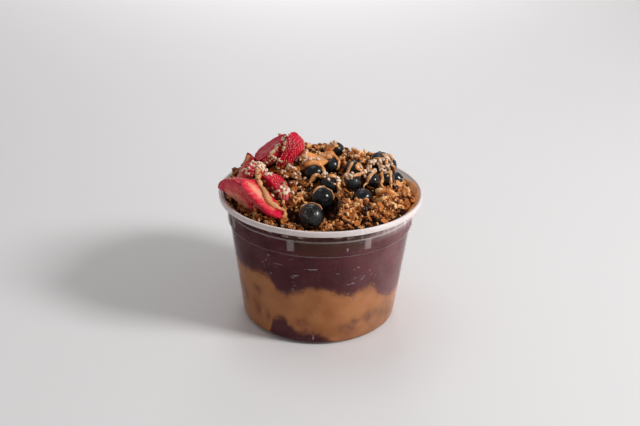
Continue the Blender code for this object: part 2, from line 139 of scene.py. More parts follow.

# ---- strawberry pieces: leaf end and tip of the axis, the way the skin faces, the width of the
# whole fruit, how many degrees of skin the piece has, how blunt the fruit is, how far from the
# axis the cut faces meet, how much painted shade dulls the flesh, how fast it reddens outwards ---
STRAWBERRIES = {
    "strawberry_back": ((-17.6, 15.3, 106), (-26.5, 10.4, 83.5), (0.8, -0.59, -0.09),
                        21, 120, 3, 0, 0, 1),
    "strawberry_slice": ((-38.5, 9, 91), (-20.6, 14.5, 104.2), (0.53, 0.08, -0.84),
                         18, 180, 2.7, 0, 0.8, 0.8),
    "strawberry_back_left": ((-50, 5, 79), (-43.5, 15, 92.5), (0.94, -0.22, -0.25),
                             18, 80, 4, 0, 0.5, 1.5),
    "strawberry_left": ((-36.5, -30.5, 73.5), (-58, -10.5, 80.3), (0.36, 0.14, 0.92),
                        28, 60, 2.2, 0, 0, 1.5),
    "strawberry_front": ((-41, -21.6, 91.9), (-19.6, -43.1, 78.6), (-0.37, 0.13, -0.92),
                         14, 180, 3.5, 1, 0, 1.2),
    "strawberry_middle": ((-35, -9, 85), (-16, -28, 73), (0.58, 0.10, 0.81),
                          20, 100, 2.7, 0, 0.3, 1),
    "strawberry_seeded": ((-43.5, -9, 87.5), (-31, -3, 88), (0.19, -0.37, 0.91),
                          13, 110, 2.7, 0, 0, 1),
}
HULL_CUT = 0.95
FRUIT_TAPER = 0.2
BERRY_COUNT = 14
BERRY_HOLLOW = 4.2             # depth and reach of the hollow in the granola round a berry
BERRY_HOLLOW_REACH = 2.8
BERRY_FLATNESS = 0.92

# where each sequence of random numbers starts
SEEDS = {"clusters": 16, "nuggets": 15, "crumbs": 14, "flakes": 5, "granola": 11, "berries": 21,
         "fruit seeds": 31, "cut fruit": 40, "hemp": 51, "strands": 60, "marks": 71,
         "dollops": 80, "smears": 90, "air gaps": 100, "band gaps": 300}


def tint(red, green, blue):
    """Linear colour from the 0 to 255 numbers of a colour picker."""
    share = np.array((red, green, blue)) / 255.0
    linear = np.where(share <= 0.04045, share / 12.92, ((share + 0.055) / 1.055) ** 2.4)
    return tuple(float(v) for v in linear)


def colour_property(name, red, green, blue, description):
    """Setting for a colour, given as the numbers of a colour picker."""
    return FloatVectorProperty(name=name, description=description, subtype="COLOR", size=3,
                               min=0.0, max=1.0, default=tint(red, green, blue))


def length_property(name, length, description):
    """Setting for a length, in metres."""
    return FloatProperty(name=name, description=description, default=length, unit="LENGTH")


def share_property(name, share, description):
    """Setting for a share."""
    return FloatProperty(name=name, description=description, default=share, min=0.0, max=1.0,
                         subtype="FACTOR")


def count_property(name, count, description):
    """Setting for a number of things."""
    return IntProperty(name=name, description=description, default=count, min=0)


class TubSettings(bpy.types.PropertyGroup):
    """Sizes and finish of the tub."""
    ring_proud: length_property("Bead Height", 0.00045, "How far the bead stands out of the band")
    rib_width: length_property("Rib Width", 0.0039, "Width of each short rib under the bead")
    rib_length: length_property("Rib Length", 0.006, "Length of each short rib under the bead")
    rib_proud: length_property("Rib Height", 0.0005, "How far a rib stands out of the band")
    wall_haze: share_property("Wall Haze", 0.006, "How milky the thin wall looks")
    wall_painted_light: share_property("Wall Painted Light", 0.07, "How much milkier the wall is painted on its lit side")
    edge_haze: share_property("Edge Haze", 0.9, "How milky the wall looks where it turns away")
    lip_haze: share_property("Lip Haze", 0.86, "How milky the thick lip looks")
    colour: colour_property("Plastic", 232, 222, 220, "Colour of the milky plastic")


class LayerSettings(bpy.types.PropertyGroup):
    """Colours of the layers inside the tub."""
    acai: colour_property("Acai", 79, 33, 38, "Colour of the acai")
    pale: colour_property("Pale Acai", 110, 56, 62, "Acai painted lighter on the tub's lit side")
    peanut: colour_property("Peanut Butter Layer", 177, 116, 71, "Colour of the blended layer")
    blend: FloatProperty(name="Edge Softness", default=3.0, min=0.0,
                         description="How softly the layers run together, in millimetres")


class GranolaSettings(bpy.types.PropertyGroup):
    """Amount and colours of the granola."""
    clusters: count_property("Clusters", 150, "Number of clusters")
    flakes: count_property("Oat Flakes", 520, "Number of flakes")
    nuggets: count_property("Nuggets", 300, "Number of nuggets")
    crumbs: count_property("Crumbs", 800, "Number of crumbs")
    dark: colour_property("Dark Toast and Shade", 48, 17, 4, "Granola in its darkest places")
    golden: colour_property("Golden Toast", 190, 110, 48, "Most of the granola")
    pale: colour_property("Pale Oat", 246, 196, 134, "The palest flakes")


class FruitSettings(bpy.types.PropertyGroup):
    """Colours of the fruit."""
    berry: colour_property("Blueberry", 8, 8, 11, "Blueberry skin where the bloom is rubbed off")
    bloom: colour_property("Bloom", 52, 58, 62, "Waxy bloom on the blueberries")
    skin: colour_property("Strawberry Skin", 206, 2, 50, "Strawberry skin")
    flesh: colour_property("Strawberry Flesh", 222, 62, 70, "Strawberry flesh")
    core: colour_property("Strawberry Core", 246, 160, 132, "The pale middle of a strawberry")
    shaded_flesh: colour_property("Shaded Flesh", 186, 92, 104, "Flesh painted in shade on the pieces turned from the key light")


class SauceSettings(bpy.types.PropertyGroup):
    """Peanut butter drizzle and seeds on top."""
    sauce: colour_property("Peanut Butter", 218, 160, 104, "Colour of the drizzle")
    warm: colour_property("Warm Peanut Butter", 240, 160, 86, "Colour of the larger dollops")
    hemp: colour_property("Hemp Seed", 238, 216, 192, "Colour of a hulled hemp seed")
    hemp_dark: colour_property("Dark Hemp Seed", 196, 154, 118, "The darker seeds")
    seed_length: length_property("Hemp Seed Length", 0.0024, "Length of a hemp seed")


class StageSettings(bpy.types.PropertyGroup):
    """Light and camera."""
    key_power: FloatProperty(name="Key Light", default=18.5, min=0.0, unit="POWER",
                             description="Power of the soft light from the right")
    fill: FloatProperty(name="Fill", default=0.31, min=0.0,
                        description="Strength of the even light from all round")
    floor: colour_property("Floor", 232, 232, 234, "Colour of the floor")
    lens: FloatProperty(name="Lens", default=50.64, unit="CAMERA",
                        description="Focal length of the camera")


# ---- shapes --------------------------------------------------------------------------------

def put_mesh(name, points, faces, material, **values):
    """New smooth object at the origin. points are millimetres, faces arrays of corners, and
    values are numbers for each point that the material reads by name."""
    mesh = bpy.data.meshes.new(name)
    points = np.asarray(points, float) * MM
    sizes = np.concatenate([np.full(len(f), f.shape[1]) for f in faces])
    corners = np.concatenate([f.ravel() for f in faces])
    mesh.vertices.add(len(points))
    mesh.vertices.foreach_set("co", points.astype(np.float32).ravel())
    mesh.loops.add(len(corners))
    mesh.loops.foreach_set("vertex_index", corners.astype(np.int32))
    mesh.polygons.add(len(sizes))
    mesh.polygons.foreach_set("loop_start", (np.cumsum(sizes) - sizes).astype(np.int32))
    mesh.update(calc_edges=True)
    for key, numbers in values.items():
        layer = mesh.attributes.new(key, "FLOAT", "POINT")
        layer.data.foreach_set("value", np.asarray(numbers, np.float32).ravel())
    mesh.validate()
    mesh.shade_smooth()
    mesh.materials.append(material)
    obj = bpy.data.objects.new(name, mesh)
    bpy.context.scene.collection.objects.link(obj)
    return obj


def ride(obj, slot, *nodes):
    """Fix a piece to the tub, and hide the nodes that it stands for. The slot is not used."""
    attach(obj, "root")
    if nodes:
        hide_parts(*nodes)
    return obj


def mesh_points(mesh):
    """Points of a mesh, in millimetres."""
    points = np.empty(len(mesh.vertices) * 3, np.float32)
    mesh.vertices.foreach_get("co", points)
    return points.reshape(-1, 3) / MM


def clamp(values):
    """Values held between 0 and 1."""
    return np.clip(values, 0, 1)


def hump(distance, reach):
    """Bell curve: 1 at no distance, and about a third at the reach."""
    return np.exp(-(distance / reach) ** 2)


def once_round(count, whole=TURN):
    """Even angles once round."""
    return whole * np.arange(count) / count


def shares(count):
    """Even shares, from the first step out to 1."""
    return np.linspace(0, 1, count + 1)[1:]


def lens_shares(rows):
    """Shares of the size of a lens's rings, out to the rim and back, and the side of each."""
    return (np.concatenate([shares(rows), np.linspace(1, 0, rows + 1)[1:-1]]),
            np.concatenate([np.ones(rows), -np.ones(rows - 1)])[:, None])


def uneven_round(rng, share, cols, *waves):
    """Rings of an uneven round, each a share of its size, as two coordinates. Its outline is 1
    plus sine waves, given as (count, height), that start anywhere."""
    turn = once_round(cols)
    edge = sum((height * np.sin(count * turn + rng.uniform(0, 6)) for count, height in waves), 1.0)
    return np.outer(share, edge * np.cos(turn)), np.outer(share, edge * np.sin(turn))


def soften(values):
    """Average each row with its neighbours, but for the first and the last."""
    values[1:-1] = (values[:-2] + 2 * values[1:-1] + values[2:]) / 4


def soften_round(values):
    """Average of each column with its neighbours, round closed rings."""
    return (np.roll(values, 1, 1) + 2 * values + np.roll(values, -1, 1)) / 4


def line_lengths(line):
    """Length along a line up to each of its points."""
    return np.concatenate([[0], np.cumsum(np.linalg.norm(np.diff(line, axis=0), axis=1))])


def line_points(line, where):
    """Points at given lengths along a line."""
    return np.stack([np.interp(where, line_lengths(line), column) for column in line.T], -1)


def azimuths(points):
    """Azimuth of each point, in degrees."""
    return np.degrees(np.arctan2(points[:, 0], -points[:, 1]))


def shell_faces(rows, cols):
    """Faces of a closed shell of rings, from its top pole (point 0) to its bottom pole. The
    rings run anticlockwise as seen from above, and the faces point outwards."""
    turn = np.arange(cols)
    after = (turn + 1) % cols
    ring = 1 + cols * np.arange(rows - 1)[:, None]
    bands = np.stack([ring + turn, ring + cols + turn, ring + cols + after, ring + after], -1)
    last = 1 + cols * (rows - 1)
    top = np.stack([np.zeros(cols, int), 1 + turn, 1 + after], -1)
    bottom = np.stack([np.full(cols, last + cols), last + after, last + turn], -1)
    return [bands.reshape(-1, 4), np.concatenate([top, bottom])]


def ball(rows, cols, polar=None):
    """Unit directions of a round: a pole, rings at the polar angles, a pole; and its faces."""
    if polar is None:
        polar = np.pi * np.arange(1, rows + 1) / (rows + 1)
    turn = once_round(cols)
    ring = np.stack([np.outer(np.sin(polar), np.cos(turn)), np.outer(np.sin(polar), np.sin(turn)),
                     np.outer(np.cos(polar), np.ones(cols))], -1).reshape(-1, 3)
    return np.vstack([UP, ring, -UP]), shell_faces(len(polar), cols)


def shell(rings, first, last):
    """Points of a closed shell, from its rings (rows, columns, 3) and its two poles."""
    return np.vstack([np.reshape(first, (1, 3)), rings.reshape(-1, 3), np.reshape(last, (1, 3))])


def unit(vectors):
    """Vectors at a length of one."""
    return vectors / np.linalg.norm(vectors, axis=-1, keepdims=True)


def ripples(points, length, seed, count=20):
    """Smooth unevenness of about unit height: a sum of sine waves that run in random
    directions, with wave lengths near the given one."""
    rng = np.random.default_rng(seed)
    ways = unit(rng.normal(size=(count, 3))) * (rng.uniform(0.6, 1.5, (count, 1)) * TURN / length)
    total = np.zeros(points.shape[:-1])
    for way, start in zip(ways, rng.uniform(0, TURN, count)):
        total += np.sin(points @ way + start)
    return total * math.sqrt(2.0 / count)


def random_turns(rng, count):
    """Evenly spread random turns, from random unit quaternions."""
    w, x, y, z = unit(rng.normal(size=(count, 4))).T
    rows = [1 - 2 * (y * y + z * z), 2 * (x * y - z * w), 2 * (x * z + y * w),
            2 * (x * y + z * w), 1 - 2 * (x * x + z * z), 2 * (y * z - x * w),
            2 * (x * z - y * w), 2 * (y * z + x * w), 1 - 2 * (x * x + y * y)]
    return np.stack(rows, -1).reshape(count, 3, 3)


def facing(normals, rng):
    """Turns that take +Z to each normal, each with its own random spin."""
    normals = unit(normals)
    helper = np.where(np.abs(normals[:, :1]) < 0.8, [[1.0, 0, 0]], [[0, 1.0, 0]])
    side = unit(np.cross(helper, normals))
    front = np.cross(normals, side)
    spin = rng.uniform(0, TURN, (len(normals), 1))
    first = np.cos(spin) * side + np.sin(spin) * front
    return np.stack([first, np.cross(normals, first), normals], axis=2)


def stamped(shapes, faces, kinds, turns, places, sizes):
    """Copies of shapes (kinds, points, 3), each sized, turned and put in its place."""
    copies = shapes[kinds] * np.asarray(sizes)[:, None, None]
    points = np.einsum("nij,nkj->nki", turns, copies) + places[:, None]
    step = (shapes.shape[1] * np.arange(len(kinds)))[:, None, None]
    return points.reshape(-1, 3), [(f[None] + step).reshape(-1, f.shape[1]) for f in faces]


def joined(parts):
    """One set of points and faces from several (points, faces)."""
    points = np.concatenate([p for p, _ in parts])
    starts = np.cumsum([0] + [len(p) for p, _ in parts])
    faces = [f + start for (_, fs), start in zip(parts, starts) for f in fs]
    return points, faces


def inner_radius(z):
    """Radius of the tub's inner face: a taper up to the shoulder, a short step, the band, and
    the mouth that opens out under the lip."""
    body = clamp((z - CORNER) / (SHOULDER_HEIGHT - CORNER))
    body = BODY_FOOT_RADIUS + (BODY_TOP_RADIUS - BODY_FOOT_RADIUS) * body
    band = clamp((z - SHOULDER_HEIGHT) / (TUB_TOP - SHOULDER_HEIGHT))
    band = BAND_FOOT_RADIUS + (BAND_TOP_RADIUS - BAND_FOOT_RADIUS) * band
    step = clamp((z - SHOULDER_HEIGHT) / (2 * SHOULDER_STEP) + 0.5)
    radius = body + (band - body) * step - WALL - np.maximum(0, CORNER - z)
    mouth = clamp((z - MOUTH_FOOT) / (MOUTH_TOP - MOUTH_FOOT))
    return radius + (MOUTH_RADIUS - radius) * mouth


def from_wall(radius, azimuth, z):
    """Points at a radius, an azimuth in degrees from the front, and a height."""
    angle = np.radians(azimuth)
    return np.stack([radius * np.sin(angle), -radius * np.cos(angle), z + 0 * angle], -1)


def turn_from(azimuth, centre):
    """Degrees from a centre to an azimuth, the short way round."""
    return (azimuth - centre + 180.0) % 360.0 - 180.0


def lit_side(azimuth):
    """0 round the front and left, and 1 on the right, where the key light falls and lighter colour
    is painted as painted light.
    """
    share = (clamp((azimuth - PAINTED_LIGHT_FROM) / PAINTED_LIGHT_RISE)
             * clamp((PAINTED_LIGHT_TO - azimuth) / PAINTED_LIGHT_FALL))
    return share * share * (3 - 2 * share)


def edge_line(azimuth, knots, soft=1.4):
    """Height along a line of (azimuth, height) knots round the tub, softened at its corners
    by a bell-shaped average and made ragged by three short waves."""
    count = 720
    turn = np.linspace(-180, 180, count, endpoint=False)
    height = np.interp(turn, *np.array(sorted(knots), float).T, period=360)
    offset = np.minimum(np.arange(count), count - np.arange(count)) * (360 / count)
    weight = np.exp(-0.5 * (offset / soft) ** 2)
    height = np.fft.irfft(np.fft.rfft(height) * np.fft.rfft(weight / weight.sum()), count)
    angle = np.radians(azimuth)
    ragged = sum(rise * np.sin(waves * angle + start)
                 for waves, rise, start in ((41, 0.28, 1), (73, 0.22, 0), (117, 0.15, 2)))
    return np.interp(azimuth, turn, height, period=360) + ragged


# ---- material helpers ----------------------------------------------------------------------

class Value:
    """A number or colour in a node tree. Arithmetic on it adds maths nodes to the tree."""

    def __init__(self, tree, socket):
        self.tree, self.socket = tree, socket

    def __add__(self, other):
        return calc(self.tree, "ADD", self, other)

    def __sub__(self, other):
        return calc(self.tree, "SUBTRACT", self, other)

    def __rsub__(self, other):
        return calc(self.tree, "SUBTRACT", other, self)

    def __mul__(self, other):
        return calc(self.tree, "MULTIPLY", self, other)

    def __pow__(self, other):
        return calc(self.tree, "POWER", self, other)


def add(tree, kind, inputs=None, output=0, **settings):
    """Add a node and give one output of it. inputs names its sockets, each given a value of
    the tree to join or a plain value."""
    made = tree.nodes.new(kind)
    for key, value in settings.items():
        setattr(made, key, value)
    fill_sockets(tree, made, inputs or {})
    return Value(tree, made.outputs[output])


def fill_sockets(tree, made, inputs):
    """Join a value of the tree to each named socket of a node, or set a plain value there."""
    for key, value in inputs.items():
        socket = made.inputs[key]
        if isinstance(value, Value):
            tree.links.new(value.socket, socket)
        elif socket.type == "RGBA":
            socket.default_value = (*value[:3], 1.0)
        else:
            socket.default_value = value


def mix(tree, share, first, second, blend="MIX"):
    """Mix of two colours by a share of the second."""
    return add(tree, "ShaderNodeMix", {0: share, 6: first, 7: second}, 2, data_type="RGBA",
               blend_type=blend)


def calc(tree, operation, first, second, clamped=False):
    """Result of a maths node."""
    return add(tree, "ShaderNodeMath", {0: first, 1: second}, operation=operation,
               use_clamp=clamped)


def spread(tree, value, low, high, to_low=0.0, to_high=1.0):
    """Smooth step of a value from low to high."""
    return add(tree, "ShaderNodeMapRange", {"Value": value, "From Min": low, "From Max": high,
                                            "To Min": to_low, "To Max": to_high},
               interpolation_type="SMOOTHSTEP")


def attribute(tree, name):
    """A mesh's own value at each point."""
    return add(tree, "ShaderNodeAttribute", output="Fac", attribute_name=name)


def coordinates(tree):
    """Place on the object."""
    return add(tree, "ShaderNodeTexCoord", output="Object")


def noise(tree, scale, detail=3.0, vector=None, roughness=0.5):
    """Noise of an object scale."""
    return add(tree, "ShaderNodeTexNoise", {"Vector": vector or coordinates(tree), "Scale": scale,
                                            "Detail": detail, "Roughness": roughness})


def grouped(tree, name, output, kind, fill, inputs, colours=()):
    """Output of a node of a shader group. The group is made once: its inputs are numbers, or
    colours where listed, and fill(tree, inputs) gives its one output."""
    group = bpy.data.node_groups.get(name)
    if group is None:
        group = bpy.data.node_groups.new(name, "ShaderNodeTree")
        for label in inputs:
            group.interface.new_socket(label, in_out="INPUT", socket_type="NodeSocket"
                                       + ("Color" if label in colours else "Float"))
        group.interface.new_socket(output, in_out="OUTPUT", socket_type="NodeSocket" + kind)
        entry = group.nodes.new("NodeGroupInput")
        leave = group.nodes.new("NodeGroupOutput")
        given = {socket.name: Value(group, socket) for socket in entry.outputs}
        group.links.new(fill(group, given).socket, leave.inputs[0])
    return add(tree, "ShaderNodeGroup", inputs, node_tree=group)


def patches(tree, scale, low, high, detail=3.0):
    """Soft-edged patches: noise of an object scale, stepped between two levels."""
    def fill(inner, given):
        value = noise(inner, given["Scale"], given["Detail"])
        return spread(inner, value, given["Low"], given["High"])
    return grouped(tree, "patches", "Mask", "Float", fill,
                   {"Scale": scale, "Low": low, "High": high, "Detail": detail})


def grain(tree, scale):
    """Height of a rough grain: coarse noise, with finer noise on top."""
    def fill(inner, given):
        return (noise(inner, given["Scale"], 2.0)
                + noise(inner, given["Scale"] * 3.1, 3.0) * 0.45)
    return grouped(tree, "grain", "Height", "Float", fill, {"Scale": scale})


def layer_colour(tree, acai, peanut, softness):
    """Colour of the layers by how far a point is over the peanut butter and over the lower
    acai: the two run together over a soft, uneven edge."""
    def fill(inner, given):
        wander = (noise(inner, 330.0, 5.0, roughness=0.6) - 0.5) * 7.0
        soft = given["Softness"]
        over = spread(inner, given["Over Peanut"] + wander, soft * -1.0, soft)
        under = spread(inner, given["Over Lower"] + wander, soft, soft * -1.0)
        return mix(inner, calc(inner, "MAXIMUM", over, under), given["Peanut"], given["Acai"])
    return grouped(tree, "layer colour", "Colour", "Color", fill, {
        "Over Peanut": attribute(tree, "over_peanut"), "Over Lower": attribute(tree, "over_lower"),
        "Softness": softness, "Acai": acai, "Peanut": peanut}, ("Acai", "Peanut"))


def new_material(name):
    """A material and its tree."""
    material = bpy.data.materials.new(name)
    material.use_nodes = True
    return material, material.node_tree


def shade(material, **values):
    """Give a material's shader its values, and give the material back."""
    named = {key.replace("_", " ").title().replace("Ior", "IOR"): value
             for key, value in values.items()}
    fill_sockets(material.node_tree, material.node_tree.nodes["Principled BSDF"], named)
    return material


def bump(tree, height, strength, distance):
    """Normal of a bumpy surface."""
    return add(tree, "ShaderNodeBump", {"Height": height, "Strength": strength,
                                        "Distance": distance})


def dimmed(colour, share):
    """A share of a colour."""
    return tuple(c * share for c in colour)


# ---- materials -----------------------------------------------------------------------------

def plastic_material(tub):
    """Milky plastic: thin wall hazy, thick lip nearly solid, with faint rubbed patches, and painted
    light that makes it milkier on the side the key light falls on.
    """
    material, tree = new_material("tub_plastic")
    mottle = patches(tree, 90.0, 0.35, 0.75)
    fine = patches(tree, 900.0, 0.55, 0.8)
    frost, band = attribute(tree, "frost"), attribute(tree, "band")
    upright = add(tree, "ShaderNodeMapping", {"Vector": coordinates(tree),
                                              "Scale": (1.0, 1.0, 0.12)})
    streaks = spread(tree, noise(tree, 420.0, 2.0, upright), 0.5, 0.68)
    worn = mottle * 0.5 + fine * 0.5 + streaks * (band * 0.6)
    haze = spread(tree, attribute(tree, "thickness"), 0.0, 1.0, tub.wall_haze, tub.lip_haze)
    # painted light: the wall is milkier, so lighter, on the side the key light falls on, more where
    # it is rubbed; the rubbed patches themselves are real wear
    haze = haze + frost * tub.wall_painted_light * (worn + 0.6) + worn * 0.012
    # painted light: the band under the lip is lighter still in streaks on the lit side
    haze = haze + band * frost ** 2.0 * spread(tree, streaks, 0, 1, 0.1, 0.17)
    turned_away = add(tree, "ShaderNodeLayerWeight", {"Blend": 0.5}, "Facing")
    haze = calc(tree, "ADD", haze, turned_away ** 8.0 * tub.edge_haze, clamped=True)
    return shade(material, specular_ior_level=0.4, alpha=haze,
                 base_color=mix(tree, mottle, tub.colour, dimmed(tub.colour, 0.93)),
                 roughness=spread(tree, mottle, 0, 1, 0.24, 0.36),
                 normal=bump(tree, noise(tree, 60.0, 2.0), 0.25, 0.0006))


def layer_material(name, layers):
    """Acai and peanut butter against the wall, with mottling, smudges, soft edges, painted light on
    the side the key light falls on and painted shade on the left and low down.
    """
    material, tree = new_material(name)
    frost = attribute(tree, "frost")
    # painted light: the acai is paler on the side the key light falls on
    acai = mix(tree, frost, layers.acai, layers.pale)
    x, z = (add(tree, "ShaderNodeSeparateXYZ", {"Vector": coordinates(tree)}, axis)
            for axis in "XZ")
    # painted shade: the peanut butter is darker on the left, away from the key light, and low down
    # by the foot
    shade_left_and_low = calc(tree, "MAXIMUM", spread(tree, x, -0.036, -0.006, 1.0, 0.0),
                   spread(tree, z, 0.0, 0.014, 0.8, 0.0))
    peanut = mix(tree, shade_left_and_low, layers.peanut, dimmed(layers.peanut, 0.84))
    colour = layer_colour(tree, acai, peanut, layers.blend)
    cloud = patches(tree, 70.0, 0.35, 0.7, 4.0)
    colour = mix(tree, cloud * 0.6, colour, (0.52, 0.42, 0.4), "MULTIPLY")
    colour = mix(tree, patches(tree, 700.0, 0.58, 0.75) * 0.22, colour, (0.30, 0.22, 0.22))
    smudge = attribute(tree, "smudge") * patches(tree, 300.0, 0.2, 0.6)
    # the smudges turn browner on the lit side, carried by the painted light share
    muddy = mix(tree, frost, layers.acai, tint(92, 64, 46))
    return shade(material, specular_ior_level=0.12,
                 base_color=mix(tree, smudge * 0.7, colour, muddy),
                 roughness=spread(tree, cloud, 0, 1, 0.5, 0.65),
                 normal=bump(tree, grain(tree, 500.0), 0.3, 0.0006))


def granola_material(granola, layers, name="granola", wall=False):
    """Toasted oats, golden to pale, with painted shade in the hollows and painted light on the
    tops, and a honey glaze. With a wall, the side pressed against the tub is smooth and stained by
    the acai."""
    material, tree = new_material(name)
    cloud = noise(tree, 420.0) - 0.5
    fine = noise(tree, 1700.0, 4.0, roughness=0.65)
    toast = attribute(tree, "toast") + cloud + (fine - 0.5) * 0.9
    colour = mix(tree, spread(tree, toast, 0.1, 0.6), granola.dark, granola.golden)
    colour = mix(tree, spread(tree, toast, 0.68, 1.25), colour, granola.pale)
    relief = grain(tree, 900.0)
    if wall:
        side = attribute(tree, "side")
        stain = spread(tree, attribute(tree, "over_acai") + cloud * 5.0, -1.0, 2.5)
        colour = mix(tree, side, colour, mix(tree, stain, layers.acai, tint(66, 32, 22)))
        relief = relief * (1.0 - side)
    return shade(material, coat_weight=0.0 if wall else 0.3, coat_roughness=0.14,
                 specular_ior_level=0.15, base_color=colour,
                 roughness=spread(tree, fine, 0.3, 0.7, 0.42, 0.72),
                 normal=bump(tree, relief, 0.55, 0.0012))


def berry_material(fruit):
    """Blueberry skin: blue-black, with a waxy bloom that is rubbed off in places."""
    material, tree = new_material("blueberry_skin")
    rubbed = patches(tree, 140.0, 0.38, 0.68, 5.0)
    bloom = rubbed * (patches(tree, 520.0, 0.35, 0.75, 5.0) * 0.6 + 0.25)
    colour = mix(tree, bloom, fruit.berry, fruit.bloom)
    colour = mix(tree, attribute(tree, "crown") * 0.75, colour, tint(46, 36, 34))
    return shade(material, coat_weight=0.3, coat_roughness=0.05, specular_ior_level=0.3,
                 base_color=colour, roughness=spread(tree, bloom, 0.0, 0.7, 0.22, 0.55),
                 normal=bump(tree, grain(tree, 1100.0), 0.12, 0.0005))


def strawberry_material(fruit):
    """Strawberry: red skin, and flesh that runs from a pale core to a red rim, with pale
    threads from the core to the skin."""
    material, tree = new_material("strawberry")
    depth, along = attribute(tree, "depth"), attribute(tree, "along")
    cloud = noise(tree, 190.0)
    place = add(tree, "ShaderNodeCombineXYZ", {0: depth * 0.25, 1: along,
                                               2: attribute(tree, "cut_side")})
    threads = noise(tree, 9.0, 4.0, place, 0.6)
    edge = depth + (cloud - 0.5) * 0.3
    colour = mix(tree, spread(tree, edge, 0.05, 0.4), fruit.core, fruit.flesh)
    colour = mix(tree, spread(tree, threads, 0.5, 0.7, 0.0, 0.4), colour, fruit.core)
    # painted shade: flesh of the pieces turned away from the key light is painted duller and darker
    dull = mix(tree, spread(tree, threads, 0.4, 0.6), fruit.shaded_flesh, fruit.skin)
    colour = mix(tree, attribute(tree, "dull"), colour, dull)
    colour = mix(tree, spread(tree, edge, 0.42, 0.85), colour, fruit.skin)
    colour = mix(tree, spread(tree, along + cloud * 0.3, 0.68, 0.85), colour, fruit.skin)
    deep = mix(tree, spread(tree, cloud, 0.35, 0.7), fruit.skin, dimmed(fruit.skin, 0.6))
    return shade(material, coat_weight=0.22, coat_roughness=0.12, specular_ior_level=0.2,
                 base_color=mix(tree, attribute(tree, "skin"), colour, deep),
                 roughness=spread(tree, cloud, 0.3, 0.7, 0.26, 0.42),
                 normal=bump(tree, grain(tree, 800.0), 0.25, 0.0006))


def seed_material(name, first, second, scale):
    """Small seeds: two colours in patches, a little glossy."""
    material, tree = new_material(name)
    return shade(material, roughness=0.42,
                 base_color=mix(tree, patches(tree, scale, 0.42, 0.6), first, second),
                 normal=bump(tree, noise(tree, 2500.0), 0.3, 0.0003))


def sauce_material(sauce):
    """Peanut butter: glossy, with darker streaks and fine ground specks."""
    material, tree = new_material("peanut_butter_drizzle")
    streak = patches(tree, 240.0, 0.35, 0.7)
    colour = mix(tree, attribute(tree, "warm"), sauce.sauce, sauce.warm)
    colour = mix(tree, streak * 0.4, colour, tint(150, 84, 40))
    colour = mix(tree, patches(tree, 1800.0, 0.6, 0.72) * 0.5, colour, tint(120, 66, 32))
    return shade(material, coat_weight=0.4, coat_roughness=0.18, subsurface_weight=0.1,
                 subsurface_scale=0.002, subsurface_radius=(1.0, 0.5, 0.2), base_color=colour,
                 roughness=spread(tree, streak, 0, 1, 0.3, 0.45),
                 normal=bump(tree, grain(tree, 700.0), 0.3, 0.0006))


def gap_material(name, scale, light, dark, cloud, low, high, thin, thick):
    """Air between the food and the wall: two pale colours in patches, thicker and thinner."""
    material, tree = new_material(name)
    return shade(material, roughness=0.5,
                 base_color=mix(tree, patches(tree, scale, 0.4, 0.6), light, dark),
                 alpha=spread(tree, noise(tree, cloud), low, high, thin, thick))


def floor_material(stage):
    """Pale floor with broad, faint clouds."""
    material, tree = new_material("floor")
    colour = mix(tree, patches(tree, 1.5, 0.3, 0.7), stage.floor, dimmed(stage.floor, 0.985))
    return shade(material, roughness=0.6, base_color=colour)


# ---- the tub -------------------------------------------------------------------------------

def rounded_profile(corners, step):
    """Line through (radius, height, rounding) corners: each corner is replaced by a quarter
    curve that starts and ends its rounding away, and straight runs are cut to the step."""
    points = np.array([c[:2] for c in corners], float)
    line = [points[0]]
    t = np.linspace(0, 1, 6)[:, None]
    for before, here, after, (_, _, rounding) in zip(points, points[1:], points[2:], corners[1:]):
        start, end = (here + unit(other - here) * rounding for other in (before, after))
        line += list((1 - t) ** 2 * start + 2 * t * (1 - t) * here + t ** 2 * end)
    line = np.array(line + [points[-1]])
    length = line_lengths(line)
    count = np.maximum(1, np.ceil(np.diff(length) / step).astype(int))
    where = np.concatenate([np.linspace(a, b, n, endpoint=False)
                            for a, b, n in zip(length, length[1:], count)] + [[length[-1]]])
    return line_points(line, where)


